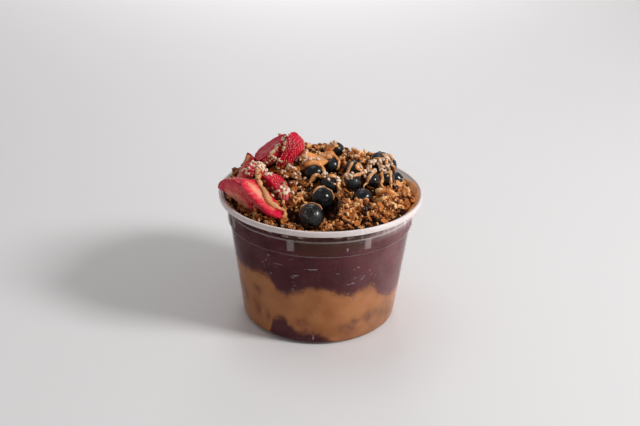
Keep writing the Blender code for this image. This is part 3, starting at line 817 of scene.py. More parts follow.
class ACAI_OT_tub(bpy.types.Operator):
    """Turn the tub's section round its axis, with the bead and the ribs pressed out of it"""
    bl_idname = "acai.tub"
    bl_label = "Tub"

    def execute(self, context):
        tub = context.scene.acai_tub
        foot = TUB_TOP - LIP_HEIGHT
        corners = [
            (0.5, WALL, 0), (BODY_FOOT_RADIUS - CORNER, WALL, 0.8),
            (BODY_FOOT_RADIUS - WALL, CORNER, 0.8),
            (BODY_TOP_RADIUS - WALL, SHOULDER_HEIGHT - SHOULDER_STEP, 0.3),
            (BAND_FOOT_RADIUS - WALL, SHOULDER_HEIGHT + SHOULDER_STEP, 0.3),
            (inner_radius(MOUTH_FOOT), MOUTH_FOOT, 0.8), (MOUTH_RADIUS, MOUTH_TOP, 0.4),
            (MOUTH_RADIUS + 0.3, TUB_TOP, 0.3),
            (TUB_RADIUS - 0.1, TUB_TOP, 0.6), (TUB_RADIUS, TUB_TOP - 1.2, 0.4),
            (TUB_RADIUS - 0.35, foot, 0.35), (BAND_TOP_RADIUS - 0.05, foot + 0.3, 0.5),
            (BAND_FOOT_RADIUS, SHOULDER_HEIGHT, 0.35),
            (BODY_TOP_RADIUS, SHOULDER_HEIGHT - 0.7, 0.3), (BODY_FOOT_RADIUS, CORNER, 1.2),
            (BODY_FOOT_RADIUS - CORNER, 0, 1.2), (0.5, 0, 0)]
        radius, z = rounded_profile(corners, 0.7).T
        # the plain runs of the wall and the floor are straight, so a fifth of their rows will do
        plain = (radius < BODY_FOOT_RADIUS - 5) | ((z > 5) & (z < SHOULDER_HEIGHT - 3))
        keep = ~plain | (np.arange(len(z)) % 5 == 0)
        radius, z = radius[keep], z[keep]
        cols = 480
        azimuth = once_round(cols, 360.0)
        outer = (np.arange(len(z)) > np.argmax(radius)) & (z < foot - 0.2)
        bead = hump(z - RING_HEIGHT, 0.42) * outer
        pitch = 360 / RIB_COUNT
        beside = (azimuth - RIB_FIRST_AZIMUTH + pitch / 2) % pitch - pitch / 2
        half = tub.rib_width / MM / 2
        across = clamp((half - np.radians(np.abs(beside)) * BAND_TOP_RADIUS) / 0.5 + 0.5)
        rib_foot = RING_HEIGHT - tub.rib_length / MM
        upright = clamp((z - rib_foot) / 0.5 + 0.5) * clamp((RING_HEIGHT - z) / 0.4)
        rib = np.outer(upright * outer, across)
        lift = np.maximum(bead[:, None] * tub.ring_proud / MM, rib * tub.rib_proud / MM)
        rings = from_wall(radius[:, None] + lift, azimuth[None, :], z[:, None])
        points = shell(rings, (0, 0, WALL), (0, 0, 0))
        # how thick the plastic looks: the lip, the shoulder, the foot, the bead and the ribs
        lip = clamp((z - foot + 0.6) / 0.9)
        lip = np.where(outer | (radius > BAND_TOP_RADIUS - 0.3), lip, lip * 0.55)
        even = np.maximum.reduce([lip, 0.34 * hump(z - SHOULDER_HEIGHT + 0.2, 0.45),
                                  0.25 * hump(z, 1.2), 0.55 * bead])
        thickness = np.maximum(even[:, None], 0.34 * rib)
        thickness = np.concatenate([[0.2], thickness.ravel(), [0.2]])
        # painted light: the share of lighter colour painted where the key light falls
        frost = lit_side(azimuths(points))
        band = 5.0 * clamp((points[:, 2] - SHOULDER_HEIGHT - 5) / 6)
        obj = put_mesh("tub_shell", points, shell_faces(len(z), cols),
                       plastic_material(tub), thickness=thickness, frost=frost, band=band)
        ride(obj, "tub_plastic", "tub")
        return {"FINISHED"}


# ---- the layers ----------------------------------------------------------------------------

def upper_top(azimuth, share):
    """Top of the upper acai: its edge line at the wall, hollow in the middle."""
    edge = edge_line(azimuth, UPPER_LINE) - UPPER_EDGE
    return UPPER_EDGE + edge * share ** 3 - UPPER_HOLLOW * (1 - share ** 2)


def peanut_top(azimuth, share):
    """Top of the peanut butter: its edge line at the wall, a low crown in the middle."""
    edge = edge_line(azimuth, PEANUT_LINE) - PEANUT_LEVEL
    return edge * share ** 2 + PEANUT_LEVEL + PEANUT_CROWN * (1 - share ** 2)


def lower_top(azimuth, share):
    """Top of the lower acai: a mound that reaches the wall only at the front left."""
    edge = np.maximum(edge_line(azimuth, LOWER_LINE), WALL + 0.05)
    return LOWER_MIDDLE * (1 - share ** 2) + edge * share ** 2


def wall_values(points):
    """How far each point is over each layer's edge, the smudges of the blended layer, and the share
    of painted light on the side the key light falls on.
    """
    azimuth, z = azimuths(points), points[:, 2]
    smudge = np.zeros(len(z))
    for centre, height, wide, tall in SMUDGES:
        mark = hump(turn_from(azimuth, centre), 1.4 * wide) * hump(z - height, 1.3 * tall)
        smudge = np.maximum(smudge, mark)
    return {"over_peanut": z - edge_line(azimuth, PEANUT_LINE),
            "over_lower": z - edge_line(azimuth, LOWER_LINE),
            "over_acai": z - edge_line(azimuth, UPPER_LINE), "smudge": smudge,
            "frost": lit_side(azimuth)}


FACE_ROWS = 10                 # rings across the top and the underside of a layer


def wall_rings(azimuth, high, low, bottom, side_rows):
    """Rings down the wall between two heights, and in under a bottom, which is a height by
    azimuth and share of the radius."""
    rings = []
    for down in np.linspace(0, 1, side_rows + 2)[1:-1]:
        z = high + (low - high) * down
        rings.append(from_wall(inner_radius(z) + INTO_WALL, azimuth, z))
    for share in np.linspace(1, 0, FACE_ROWS + 1)[:-1]:
        reach = share * (inner_radius(low) + INTO_WALL)
        rings.append(from_wall(reach, azimuth, bottom(azimuth, share)))
    return rings


def layer_points(top, bottom, side_rows, cols=360):
    """Closed layer between two faces, each a height by azimuth and share of the radius. Rings
    run out over the top, down the wall, and in under the bottom."""
    azimuth = once_round(cols, 360.0)
    high, low = top(azimuth, 1.0), bottom(azimuth, 1.0)
    rings = [from_wall(share * (inner_radius(high) + INTO_WALL), azimuth, top(azimuth, share))
             for share in shares(FACE_ROWS)]
    rings += wall_rings(azimuth, high, low, bottom, side_rows)
    middle = np.zeros(1)
    points = shell(np.stack(rings), (0, 0, top(middle, 0.0)[0]), (0, 0, bottom(middle, 0.0)[0]))
    return points, shell_faces(len(rings), cols)


class ACAI_OT_layers(bpy.types.Operator):
    """Fill the tub with the lower acai, the peanut butter and the upper acai"""
    bl_idname = "acai.layers"
    bl_label = "Layers"

    def execute(self, context):
        layers = context.scene.acai_layers
        acai = layer_material("acai", layers)
        peanut = layer_material("peanut_butter_layer", layers)

        def floor(azimuth, share):
            return WALL + 0.02 + 0 * azimuth

        for name, node_name, slot, material, top, bottom, rows in (
                ("acai_lower_fill", "acai_lower", "acai", acai, lower_top, floor, 18),
                ("peanut_butter_fill", "peanut_butter_layer", "peanut_butter", peanut,
                 peanut_top, lower_top, 44),
                ("acai_upper_fill", "acai_upper", "acai", acai, upper_top, peanut_top, 56)):
            points, faces = layer_points(top, bottom, rows)
            obj = put_mesh(name, points, faces, material, **wall_values(points))
            ride(obj, slot, node_name)
        return {"FINISHED"}


# ---- the heap of granola -------------------------------------------------------------------

def heap_edge(azimuth):
    """Height at which the heap meets the tub's mouth."""
    return HEAP_EDGE - sum(drop * hump(turn_from(azimuth, centre), math.sqrt(2) * width)
                           for centre, drop, width in HEAP_DROPS)


def heap_top(x, y):
    """Height of the heap: a mound that leans back, with bell-shaped clusters, lower in the
    tub on one side."""
    edge = heap_edge(np.degrees(np.arctan2(x, -y)))
    share = clamp(np.hypot(x, y) / inner_radius(edge))
    rise = HEAP_RISE * (1 - share ** 2) + HEAP_TILT * y * (1 - share ** 6)
    for cx, cy, height, reach in HEAP_CLUSTERS:
        rise = rise + height * hump(np.hypot(x - cx, y - cy), reach) * (1 - share ** 8)
    return HEAP_EDGE + rise + (edge - HEAP_EDGE) * share ** 6


def loose_top(x, y, berries):
    """The heap's top sunk in a hollow round each berry."""
    sink = 0.0
    for centre, radius, _ in berries:
        away = np.maximum(np.hypot(x - centre[0], y - centre[1]) - radius, 0)
        sink = np.maximum(sink, BERRY_HOLLOW * hump(away, BERRY_HOLLOW_REACH))
    return heap_top(x, y) - sink


def berry_places():
    """Centre, radius and crown direction of each blueberry, from its CAD node. The crown is
    where the node's skin dips nearest to its centre."""
    places = []
    for number in range(1, BERRY_COUNT + 1):
        name = f"blueberry_{number:02d}"
        low, high = (np.array(c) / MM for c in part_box(name))
        centre = (low + high) / 2
        away = mesh_points(frame["nodes"][name].data) - centre
        crown = away[np.argmin(np.linalg.norm(away, axis=1))]
        places.append((centre, (high - low).max() / 2, unit(crown)))
    return places


class Piece:
    """A strawberry piece: its axes are the skin's way, across, and from leaf end to tip."""

    def __init__(self, leaf_end, tip, skin, width, angle, fullness, core, dull, paleness):
        start, end = np.array(leaf_end, float), np.array(tip, float)
        along = unit(end - start)
        out = unit(np.array(skin) - np.dot(skin, along) * along)
        self.axes = np.stack([out, np.cross(along, out), along])
        self.centre, self.half_length = (start + end) / 2, np.linalg.norm(end - start) / 2
        self.half_width, self.half_angle = width / 2, math.radians(angle / 2)
        self.fullness, self.core = fullness, core
        self.dull, self.paleness = dull, paleness

    def radius(self, share):
        """Radius of the whole fruit along its length, which runs from -1 to 1."""
        full = np.sqrt(clamp(1 - np.abs(share) ** self.fullness))
        return full * (1 - FRUIT_TAPER * share) * self.half_width

    def skin_turn(self, radius):
        """Angle round the axis at which a cut face meets the skin."""
        sine, cosine = math.sin(self.half_angle), math.cos(self.half_angle)
        across = np.sqrt(np.maximum(radius ** 2 - (self.core * sine) ** 2, 0))
        reach = across - self.core * cosine
        return np.arctan2(reach * sine, self.core + reach * cosine)


def fruit_pieces():
    """The strawberry pieces, by the name of their node."""
    return {name: Piece(*numbers) for name, numbers in STRAWBERRIES.items()}


def fruit_gap(points, berries, pieces):
    """Distance from each point to the nearest fruit, less than nothing inside one."""
    gap = np.full(len(points), 1e3)
    for centre, radius, _ in berries:
        gap = np.minimum(gap, np.linalg.norm(points - centre, axis=1) - radius)
    for piece in pieces.values():
        x, y, z = piece.axes @ (points - piece.centre).T
        out = np.hypot(x, y) - piece.radius(np.clip(z / piece.half_length, -1, 1))
        from_core = np.hypot(x - piece.core, y)
        turn = np.abs(np.arctan2(y, x - piece.core)) - piece.half_angle
        beside = from_core * np.sin(np.clip(turn, -1.5, 1.5))
        ends = np.maximum(-HULL_CUT * piece.half_length - z, z - piece.half_length)
        gap = np.minimum(gap, np.maximum.reduce([out, beside, ends]))
    return gap


def clump(rng, ways, flakes, reach, size):
    """A clump of flat rounds: the distance from its middle to its skin, in each direction, is
    where the ray leaves the last of the rounds that it meets."""
    far = np.full(len(ways), 0.3)
    centres = unit(rng.normal(size=(flakes, 3))) * rng.uniform(0.25, reach, (flakes, 1))
    turns = random_turns(rng, flakes)
    halves = rng.uniform(*size, (flakes, 3)) * [1.0, 0.85, 0.45]
    for centre, turn, half in zip(centres, turns, halves):
        squeeze = turn / half[:, None]
        ray, middle = ways @ squeeze.T, squeeze @ centre
        a, b, c = (ray * ray).sum(1), ray @ middle, middle @ middle - 1
        root = b * b - a * c
        far = np.where(root > 0, np.maximum(far, (b + np.sqrt(np.abs(root))) / a), far)
    return far


def clump_shapes(seed, kinds, rows, cols, flakes, reach, size, rough):
    """Several different clumps on one grid, each with a half size of one."""
    rng = np.random.default_rng(seed)
    ways, faces = ball(rows, cols)
    shapes = []
    for _ in range(kinds):
        far = clump(rng, ways, flakes, reach, size)
        shape = ways * far[:, None]
        far = far * (1 + rough * ripples(shape, 0.35, int(rng.integers(1e6))))
        shape = ways * far[:, None]
        shapes.append(shape / np.abs(shape).max())
    return np.array(shapes), faces


def flake_shapes(kinds, rows=3, cols=12):
    """Rolled oat flakes: a thin lens with an uneven outline, dished and creased along its
    length. The rings run from the middle of one side over the rim to the other side."""
    rng = np.random.default_rng(SEEDS["flakes"])
    share, side = lens_shares(rows)
    thick = side * 0.15 * np.sqrt(np.maximum(1 - share ** 2, 0))[:, None]
    shapes = []
    for _ in range(kinds):
        x, y = uneven_round(rng, share, cols, (2, 0.10), (5, 0.07))
        y = y * rng.uniform(0.62, 0.8)
        bend = rng.uniform(0.15, 0.5) * x ** 2 + rng.uniform(0.2, 0.7) * y ** 2
        crease = -0.09 * hump(y, 0.12) * side
        z = thick + bend + crease + 0.05 * rng.normal(size=x.shape)
        shapes.append(shell(np.stack([x, y, z], -1), (0, 0, 0.04), (0, 0, -0.04)))
    return np.array(shapes), shell_faces(len(share), cols)


# places where nothing loose lies and the core, painted dark as painted shade, shows: x, y and reach
DARK_GAPS = [(4.8, -31.5, 5.4), (6.0, -38.0, 3.8), (5.5, -25.5, 4.0), (-16.0, -38.5, 4.8),
             (3.0, -22.0, 2.8)]


def heap_places(rng, count, size, sink, berries, pieces, room=0.0, lean=0.5, ring=0.0):
    """Random places on the heap that are clear of the fruit and the wall, each with the
    heap's own slope for its normal. With a ring, all of them lie outside that radius."""
    found, normals, sizes = [], [], []
    total = 0
    while total < count:
        x, y = rng.uniform(-TUB_RADIUS, TUB_RADIUS, (2, 4 * count))
        half = rng.uniform(*size, len(x))
        z = loose_top(x, y, berries) + rng.uniform(*sink, len(x)) * half
        points = np.stack([x, y, z], -1)
        keep = np.hypot(x, y) + half < inner_radius(z) - 0.1
        keep &= (fruit_gap(points, berries, pieces) > room * half) & (np.hypot(x, y) > ring)
        for middle_x, middle_y, reach in DARK_GAPS:
            keep &= np.hypot(x - middle_x, y - middle_y) > reach
        points, half = points[keep], half[keep]
        x, y = points[:, 0], points[:, 1]
        slope = np.stack([heap_top(x - 0.5, y) - heap_top(x + 0.5, y),
                          heap_top(x, y - 0.5) - heap_top(x, y + 0.5), np.ones(len(x))], -1)
        found.append(points)
        sizes.append(half)
        normals.append(unit(unit(slope) + lean * rng.normal(size=points.shape)))
        total += len(points)
    return (np.concatenate(found)[:count], np.concatenate(normals)[:count],
            np.concatenate(sizes)[:count])


RIM_RING = 43.0                # more loose pieces lie outside this radius
# clusters that stand out of the heap: x, y, z of the middle and the half size
HERO_CLUSTERS = [
    (24, -32, 79, 6.2), (14.5, -31.5, 80.5, 4.4), (13, -38.5, 77.5, 4.2), (18.5, -36.5, 77, 3.6),
    (36, -19.5, 80, 7.4), (47, -7, 77.5, 4.8), (42, -22, 77.5, 4.6), (30, -29, 78, 4.4),
    (-17.5, -3.5, 86.8, 5.2), (-15, -17, 79, 4.6), (-12, -27.5, 78, 4.0), (-21.5, -9, 82, 3.6),
    (20, 17, 89, 5.8), (14, 20, 88.5, 4.6), (-10, 14, 87, 5.2), (30, 24, 86, 5.0),
    (50, -13, 76, 3.4), (3, -46, 74.2, 3.6), (-27, -44.5, 74.2, 3.4), (-8, 30, 87, 6.0),
    (10, 38, 84, 6.0), (-28, 28, 86, 7.0), (-38, 22, 82, 6.0), (26, 36, 82, 6.4),
    (-18, 40, 82, 6.0), (46, 10, 76.5, 4.4), (-48, 18, 77, 4.2), (-4, 46.5, 76.4, 4.0),
    (-13, 45, 76.6, 3.6), (-22, 42.5, 76.8, 4.2), (-31.5, 36.5, 76.8, 4.0), (-40, 28, 76.8, 4.2),
    (6.5, 47, 76.2, 3.4), (15.5, 45, 76.6, 3.8), (37, 29, 77, 4.2), (-47.5, 9, 76.6, 3.4),
    (43.5, 21.5, 76.4, 3.4), (-12, 36, 81, 4.4), (2, 39, 81, 4.0)]


# loose clumps: how many kinds, rows and columns of their grid, how many rounds make one, how far
# the rounds lie from its middle, their half sizes and how rough it is
CLUMPS = {"clusters": (6, 21, 31, 22, 0.62, (0.3, 0.5), 0.03),
          "nuggets": (10, 6, 10, 6, 0.45, (0.4, 0.75), 0.06),
          "crumbs": (12, 3, 7, 3, 0.5, (0.5, 0.8), 0.05)}
FLAKE_KINDS = 8
CORE_SINK, CORE_GAP = 3.0, 0.4 # how far the core lies under the heap: inside, at the wall


def lay_clumps(kind, rng, material, *laid):
    """One object of loose clumps, from the places, normals and sizes of one or more lots. The
    parts that stand out are painted paler, as painted light, and the hollows darker, as painted
    shade."""
    places, _, sizes = (np.concatenate(lot) for lot in zip(*laid))
    kinds, rows, cols, flakes, reach, size, rough = CLUMPS[kind]
    shapes, faces = clump_shapes(SEEDS[kind], kinds, rows, cols, flakes, reach, size, rough)
    which = rng.integers(0, kinds, len(places))
    points, faces = stamped(shapes, faces, which, random_turns(rng, len(places)), places, sizes)
    out = np.linalg.norm(shapes, axis=2)
    out = (out / np.median(out, axis=1, keepdims=True) - 1)[which].ravel()
    # painted light and shade: a random toast per clump, paler where a clump stands out and darker
    # in its hollows
    toast = np.repeat(rng.normal(0.5, 0.16, len(places)), shapes.shape[1]) + 2.0 * out
    ride(put_mesh("granola_" + kind, points, faces, material, toast=toast), "granola")


def lay_flakes(rng, material, *laid):
    """One object of oat flakes that lie along the heap, from one or more lots of places."""
    places, normals, sizes = (np.concatenate(lot) for lot in zip(*laid))
    shapes, faces = flake_shapes(FLAKE_KINDS)
    which = rng.integers(0, FLAKE_KINDS, len(places))
    points, faces = stamped(shapes, faces, which, facing(normals, rng), places, sizes)
    toast = np.repeat(rng.normal(0.5, 0.15, len(places)), shapes.shape[1])
    ride(put_mesh("granola_flakes", points, faces, material, toast=toast), "granola")


def granola_core(material, berries):
    """The core is a closed layer from the upper acai to just under the heap's outline, with
    relief of about a millimetre, and painted dark as painted shade in the gaps between loose
    pieces."""
    cols, top_rows, side_rows = 420, 64, 16
    azimuth = once_round(cols, 360.0)
    wall = inner_radius(heap_edge(azimuth) - CORE_GAP) + INTO_WALL
    rings = []
    for share in (np.arange(top_rows) + 1.0) / top_rows:
        flat = from_wall(share * wall, azimuth, 0)
        depth = CORE_SINK * (1 - share ** 12) + CORE_GAP
        flat[:, 2] = loose_top(flat[:, 0], flat[:, 1], berries) - depth
        relief = 0.8 * ripples(flat, 4.4, 3) + 0.5 * np.abs(ripples(flat, 2.1, 4))
        flat[:, 2] += relief * min(1.0, (1 - share) * 14)
        rings.append(flat)
    rings += wall_rings(azimuth, rings[-1][:, 2], upper_top(azimuth, 1.0), upper_top, side_rows)
    middle = np.zeros(1)
    points = shell(np.stack(rings), (0, 0, loose_top(middle, middle, berries)[0] - CORE_SINK),
                   (0, 0, upper_top(middle, 0.0)[0]))
    row = np.concatenate([[0], np.repeat(np.arange(len(rings)), cols), [len(rings)]])
    # painted shade: the core's low toast value makes it dark where it shows between loose pieces
    obj = put_mesh("granola_core", points, shell_faces(len(rings), cols), material,
                   toast=-0.05 + 0.14 * ripples(points, 4.0, 8),
                   side=clamp((row - top_rows + 1.5) / 1.5),
                   over_acai=wall_values(points)["over_acai"])
    ride(obj, "granola", "granola_heap")


class ACAI_OT_granola(bpy.types.Operator):
    """Heap the granola: a core with fine relief, and clusters, flakes, nuggets and crumbs"""
    bl_idname = "acai.granola"
    bl_label = "Granola"

    def execute(self, context):
        granola, layers = context.scene.acai_granola, context.scene.acai_layers
        berries, pieces = berry_places(), fruit_pieces()
        material = granola_material(granola, layers)
        granola_core(granola_material(granola, layers, "granola_core", True), berries)
        rng = np.random.default_rng(SEEDS["granola"])

        def lot(count, size, sink, room, lean=0.5, ring=0.0):
            return heap_places(rng, count, size, sink, berries, pieces, room, lean, ring)

        hero = np.array(HERO_CLUSTERS)
        lay_clumps("clusters", rng, material, (hero[:, :3], hero[:, :3], hero[:, 3]),
                   lot(granola.clusters - len(hero), (2.6, 4.8), (-0.75, -0.1), 0.4))
        lay_clumps("nuggets", rng, material, lot(granola.nuggets, (0.9, 1.9), (-1.2, 0.2), 0.2),
                   lot(granola.nuggets // 2, (0.9, 1.9), (-0.8, 0.4), 0.2, 0.5, RIM_RING))
        lay_clumps("crumbs", rng, material, lot(granola.crumbs, (0.4, 0.9), (-3.0, 0.8), 0.2))
        lay_flakes(rng, material, lot(granola.flakes, (1.7, 3.0), (-0.5, 0.4), 0.35, 0.7),
                   lot(granola.flakes // 3, (1.5, 2.7), (-0.5, 0.4), 0.35, 0.7, RIM_RING))
        return {"FINISHED"}


# ---- blueberries ---------------------------------------------------------------------------

class ACAI_OT_blueberries(bpy.types.Operator):
    """Shape each blueberry: a slightly flat round whose crown is a dish with a raised,
    five-lobed rim"""
    bl_idname = "acai.blueberries"
    bl_label = "Blueberries"

    def execute(self, context):
        material = berry_material(context.scene.acai_fruit)
        polar = np.concatenate([np.linspace(0.06, 0.62, 15), np.linspace(0.70, math.pi - 0.1, 24)])
        ways, faces = ball(0, 44, polar)
        angle = np.arccos(np.clip(ways[:, 2], -1, 1))
        turn = np.arctan2(ways[:, 1], ways[:, 0])
        rng = np.random.default_rng(SEEDS["berries"])
        for number, (centre, radius, crown) in enumerate(berry_places(), 1):
            phase, size = rng.uniform(0, TURN), rng.uniform(0.88, 1.1)
            lobes = 0.35 + 0.65 * np.abs(np.cos(2.5 * turn + phase)) ** 1.4
            rim = 0.42 * size * (1 + 0.10 * np.cos(5 * turn + 2 * phase))
            rise = 0.085 * lobes * hump(angle - rim, 0.075)
            dish = -0.17 * clamp(1 - (angle / (rim * 0.86)) ** 4)
            uneven = 0.012 * ripples(ways * 5, 6.0, number)
            out = 1 + rise + dish + uneven
            points = ways * out[:, None] * [1, 1, BERRY_FLATNESS] * radius * 0.99
            points = points @ facing(crown[None], rng)[0].T + centre
            value = clamp(1.25 - angle / (rim + 0.08)) ** 0.5
            obj = put_mesh(f"berry_{number:02d}", points, faces, material, crown=value)
            ride(obj, "blueberry", f"blueberry_{number:02d}")
        return {"FINISHED"}


# ---- strawberries --------------------------------------------------------------------------

SEED_GAP = 1.5
SEED_SIZE = (0.26, 0.44, 0.2)
FACE_COLUMNS, SKIN_COLUMNS, FRUIT_ROWS = 20, 80, 84


def seed_spots(piece, seed):
    """Places of the seeds on the skin: a golden-angle spiral down the fruit, closer where it
    is wide, kept where the piece has skin. Gives share of the length and turn of each."""
    rng = np.random.default_rng(seed)
    fine = np.linspace(-0.9, 0.985, 400)
    weight = np.cumsum(piece.radius(fine) + 0.1)
    skin_area = TURN * piece.radius(fine).mean() * 2 * piece.half_length
    count = int(skin_area / SEED_GAP ** 2)
    share = np.interp(np.linspace(0, weight[-1], count), weight, fine)
    share += rng.normal(0, 0.006, count)
    turn = np.arange(count) * TURN * 0.381966 + rng.normal(0, 0.04, count)
    turn = (turn + math.pi) % TURN - math.pi
    radius = piece.radius(share) + 0.1
    keep = np.abs(turn) < piece.skin_turn(radius) - 0.5 / radius
    return share[keep], turn[keep]


def piece_surface(piece, seed):
    """A cut piece of strawberry. Its section is a slice of a round: out along one cut face,
    round the skin and back along the other face. Sections run from the tip to the leaf end,
    which is closed by the same section shrunk to a point and domed."""
    first, second = FACE_COLUMNS, FACE_COLUMNS + SKIN_COLUMNS
    share = np.linspace(0.9985, -HULL_CUT, 4000)
    tip = share[np.argmax(piece.radius(share) > piece.core + 0.35)]
    share = np.cos(np.linspace(math.acos(tip), math.acos(-HULL_CUT), FRUIT_ROWS))
    radius = piece.radius(share)[:, None]
    turn = piece.skin_turn(radius)
    out = np.linspace(0, 1, FACE_COLUMNS, endpoint=False)[None]
    edge_x, edge_y = radius * np.cos(turn), radius * np.sin(turn)
    across = piece.core + (edge_x - piece.core) * out
    arc = turn * np.linspace(-1, 1, SKIN_COLUMNS)
    x = np.concatenate([across, radius * np.cos(arc), across[:, :0:-1]], 1)
    y = np.concatenate([-edge_y * out, radius * np.sin(arc), (edge_y * out)[:, :0:-1]], 1)
    z = share[:, None] * piece.half_length + 0 * x
    local = np.stack([x, y, z], -1)
    skin = np.zeros(x.shape[1])
    skin[first:second] = 1
    skin[[first, second - 1]] = 0.35
    around = np.arctan2(y, x)
    dips = np.zeros(x.shape)
    spots, spot_turns = seed_spots(piece, seed)
    for s, a in zip(spots, spot_turns):
        away = (z - s * piece.half_length) ** 2 + ((around - a) * radius) ** 2
        dips = np.maximum(dips, hump(np.sqrt(away), 0.5))
    swell = 0.12 * ripples(local, 9.0, seed) - 0.5 * dips
    local[:, first:second] += (np.stack([np.cos(arc), np.sin(arc), 0 * arc], -1)
                               * (swell * skin)[:, first:second, None])
    # the cut faces are a little uneven, and sink along the middle
    sine, cosine = math.sin(piece.half_angle), math.cos(piece.half_angle)
    for part, side in ((slice(1, first), -1), (slice(second, None), 1)):
        sink = 0.25 * hump(np.hypot(x, y) / piece.half_width, 0.2)
        bumps = (0.16 * ripples(local, 3.2, seed + 1) - sink)[:, part, None]
        local[:, part] += bumps * [-sine, side * cosine, 0]
    corner = np.zeros(len(skin), bool)
    for k in (0, first, second):
        corner[(np.arange(-2, 3) + k) % len(skin)] = True
    for _ in range(2):
        local = np.where(corner[None, :, None], soften_round(local), local)
    middle = local[-1].mean(0)
    cap = [middle + (local[-1] - middle) * k - [0, 0, 1.1 * (1 - k * k)] for k in (0.85, 0.6, 0.3)]
    local = np.concatenate([local, cap])
    depth = (1 - (radius - np.hypot(x, y)) / piece.half_width) ** piece.paleness
    depth = np.concatenate([depth, np.full((3, len(skin)), 0.9)])
    skin_rows = np.concatenate([np.tile(skin, (len(share), 1)), np.ones((3, len(skin)))])
    along = np.concatenate([z, z[-1:].repeat(3, 0)]) / piece.half_length
    side = np.tile(4.0 * (np.arange(len(skin)) >= second), (len(local), 1))
    points = shell(local, (piece.core, 0, (tip + 1) / 2 * piece.half_length), middle - [0, 0, 1.1])

    def capped(values, start, end):
        return np.concatenate([[start], values.ravel(), [end]])

    values = {"depth": capped(depth, 1, 0.9), "skin": capped(skin_rows, 1, 1),
              "along": capped(along, 1, -HULL_CUT), "cut_side": capped(side, 0, 0),
              "dull": np.full(len(points), piece.dull)}
    spot_radius = piece.radius(spots) - 0.24
    spot_points = np.stack([spot_radius * np.cos(spot_turns), spot_radius * np.sin(spot_turns),
                            spots * piece.half_length], -1)
    spot_normals = np.stack([np.cos(spot_turns), np.sin(spot_turns), 0.35 * spots ** 3], -1)
    return (points @ piece.axes + piece.centre, shell_faces(len(local), len(skin)), values,
            spot_points @ piece.axes + piece.centre, spot_normals @ piece.axes)


class ACAI_OT_strawberries(bpy.types.Operator):
    """Shape each piece of strawberry, with dimpled skin, and lay its seeds in the dimples"""
    bl_idname = "acai.strawberries"
    bl_label = "Strawberries"

    def execute(self, context):
        material = strawberry_material(context.scene.acai_fruit)
        seeds, normals, along = [], [], []
        for number, (name, piece) in enumerate(fruit_pieces().items()):
            points, faces, values, spots, ways = piece_surface(piece, SEEDS["cut fruit"] + number)
            obj = put_mesh(name.replace("strawberry", "berry_cut"), points, faces, material,
                           **values)
            ride(obj, "strawberry", name)
            seeds.append(spots)
            normals.append(ways)
            along.append(np.repeat(piece.axes[2:], len(spots), 0))
        places, normals, along = map(np.concatenate, (seeds, normals, along))
        normals = unit(normals)
        side = unit(np.cross(normals, along))
        turns = np.stack([side, np.cross(normals, side), normals], 2)
        shape, faces = ball(4, 8)
        rng = np.random.default_rng(SEEDS["fruit seeds"])
        points, faces = stamped((shape * SEED_SIZE)[None], faces, np.zeros(len(places), int), turns,
                                places, rng.uniform(0.85, 1.1, len(places)))
        material = seed_material("strawberry_seed", tint(240, 168, 140), tint(226, 120, 100), 400.0)
        ride(put_mesh("strawberry_seeds", points, faces, material), "strawberry")
        return {"FINISHED"}


# ---- peanut butter on top ------------------------------------------------------------------

def surface_tree(*prefixes):
    """Tree of the shown surfaces whose names start with any prefix, in millimetres."""
    points, faces, start = [], [], 0
    for obj in bpy.data.objects:
        if obj.type != "MESH" or not obj.name.startswith(prefixes):
            continue
        mesh = obj.data
        mesh.calc_loop_triangles()
        tri = np.empty(len(mesh.loop_triangles) * 3, np.int32)
        mesh.loop_triangles.foreach_get("vertices", tri)
        points.append(mesh_points(mesh))
        faces.append(tri.reshape(-1, 3) + start)
        start += len(mesh.vertices)
    return BVHTree.FromPolygons(np.concatenate(points).tolist(), np.concatenate(faces).tolist())


def laid_on(tree, points, reach=6.0):
    """Nearest point of the surface to each point, and the surface's normal there."""
    spots, normals = [], []
    for point in points:
        spot, normal, _, _ = tree.find_nearest(Vector(point), reach)
        spots.append(point if spot is None else np.array(spot))
        normals.append(UP if normal is None else np.array(normal))
    return np.array(spots), np.array(normals)


def curve_through(knots, count):
    """Even points on a smooth curve through the knots: each span is a cubic whose ends run
    along the line between its neighbours."""
    knots = np.asarray(knots, float)
    padded = np.concatenate([[2 * knots[0] - knots[1]], knots, [2 * knots[-1] - knots[-2]]])
    t = np.linspace(0, len(knots) - 1, 40 * len(knots))
    k = np.minimum(t.astype(int), len(knots) - 2)
    u = (t - k)[:, None]
    a, b, c, d = (padded[k + i] for i in range(4))
    line = 0.5 * (2 * b + (c - a) * u + (2 * a - 5 * b + 4 * c - d) * u ** 2
                  + (3 * b - a - 3 * c + d) * u ** 3)
    return line_points(line, np.linspace(0, line_lengths(line)[-1], count))


def strand(tree, knots, width, seed, cols=12):
    """A strand of sauce: a flattened tube along a curve that is laid on the surface. Its half
    width swells and narrows along its length and rounds off at both ends."""
    count = int(line_lengths(np.asarray(knots, float))[-1] / 0.45) + 8
    path = curve_through(knots, count)
    spots, normals = laid_on(tree, path)
    near = np.linalg.norm(spots - path, axis=1, keepdims=True)
    path = np.where(near < 3.0, spots, path)
    for _ in range(5):
        soften(path)
        soften(normals)
    normals = unit(normals)
    t = np.linspace(-1, 1, count)
    half = width / 2 * np.sqrt(np.clip(1 - t ** 6, 0.02, 1))
    half = half * (1 + 0.16 * ripples(path, 5.0, seed))
    along = unit(np.gradient(path, axis=0))
    side = unit(np.cross(normals, along))
    out = np.cross(along, side)
    path = path + out * half[:, None] * 0.42
    turn = once_round(cols)[None, :, None]
    ring = np.cos(turn) * side[:, None] + 0.74 * np.sin(turn) * out[:, None]
    rings = path[:, None] + ring * half[:, None, None]
    rings = rings + 0.07 * ripples(rings, 2.0, seed + 1)[..., None] * ring
    # rings turn anticlockwise round the path, so the far end is the top pole
    points = shell(rings[::-1], path[-1] + along[-1] * half[-1] * 0.4,
                   path[0] - along[0] * half[0] * 0.4)
    return points, shell_faces(count, cols)


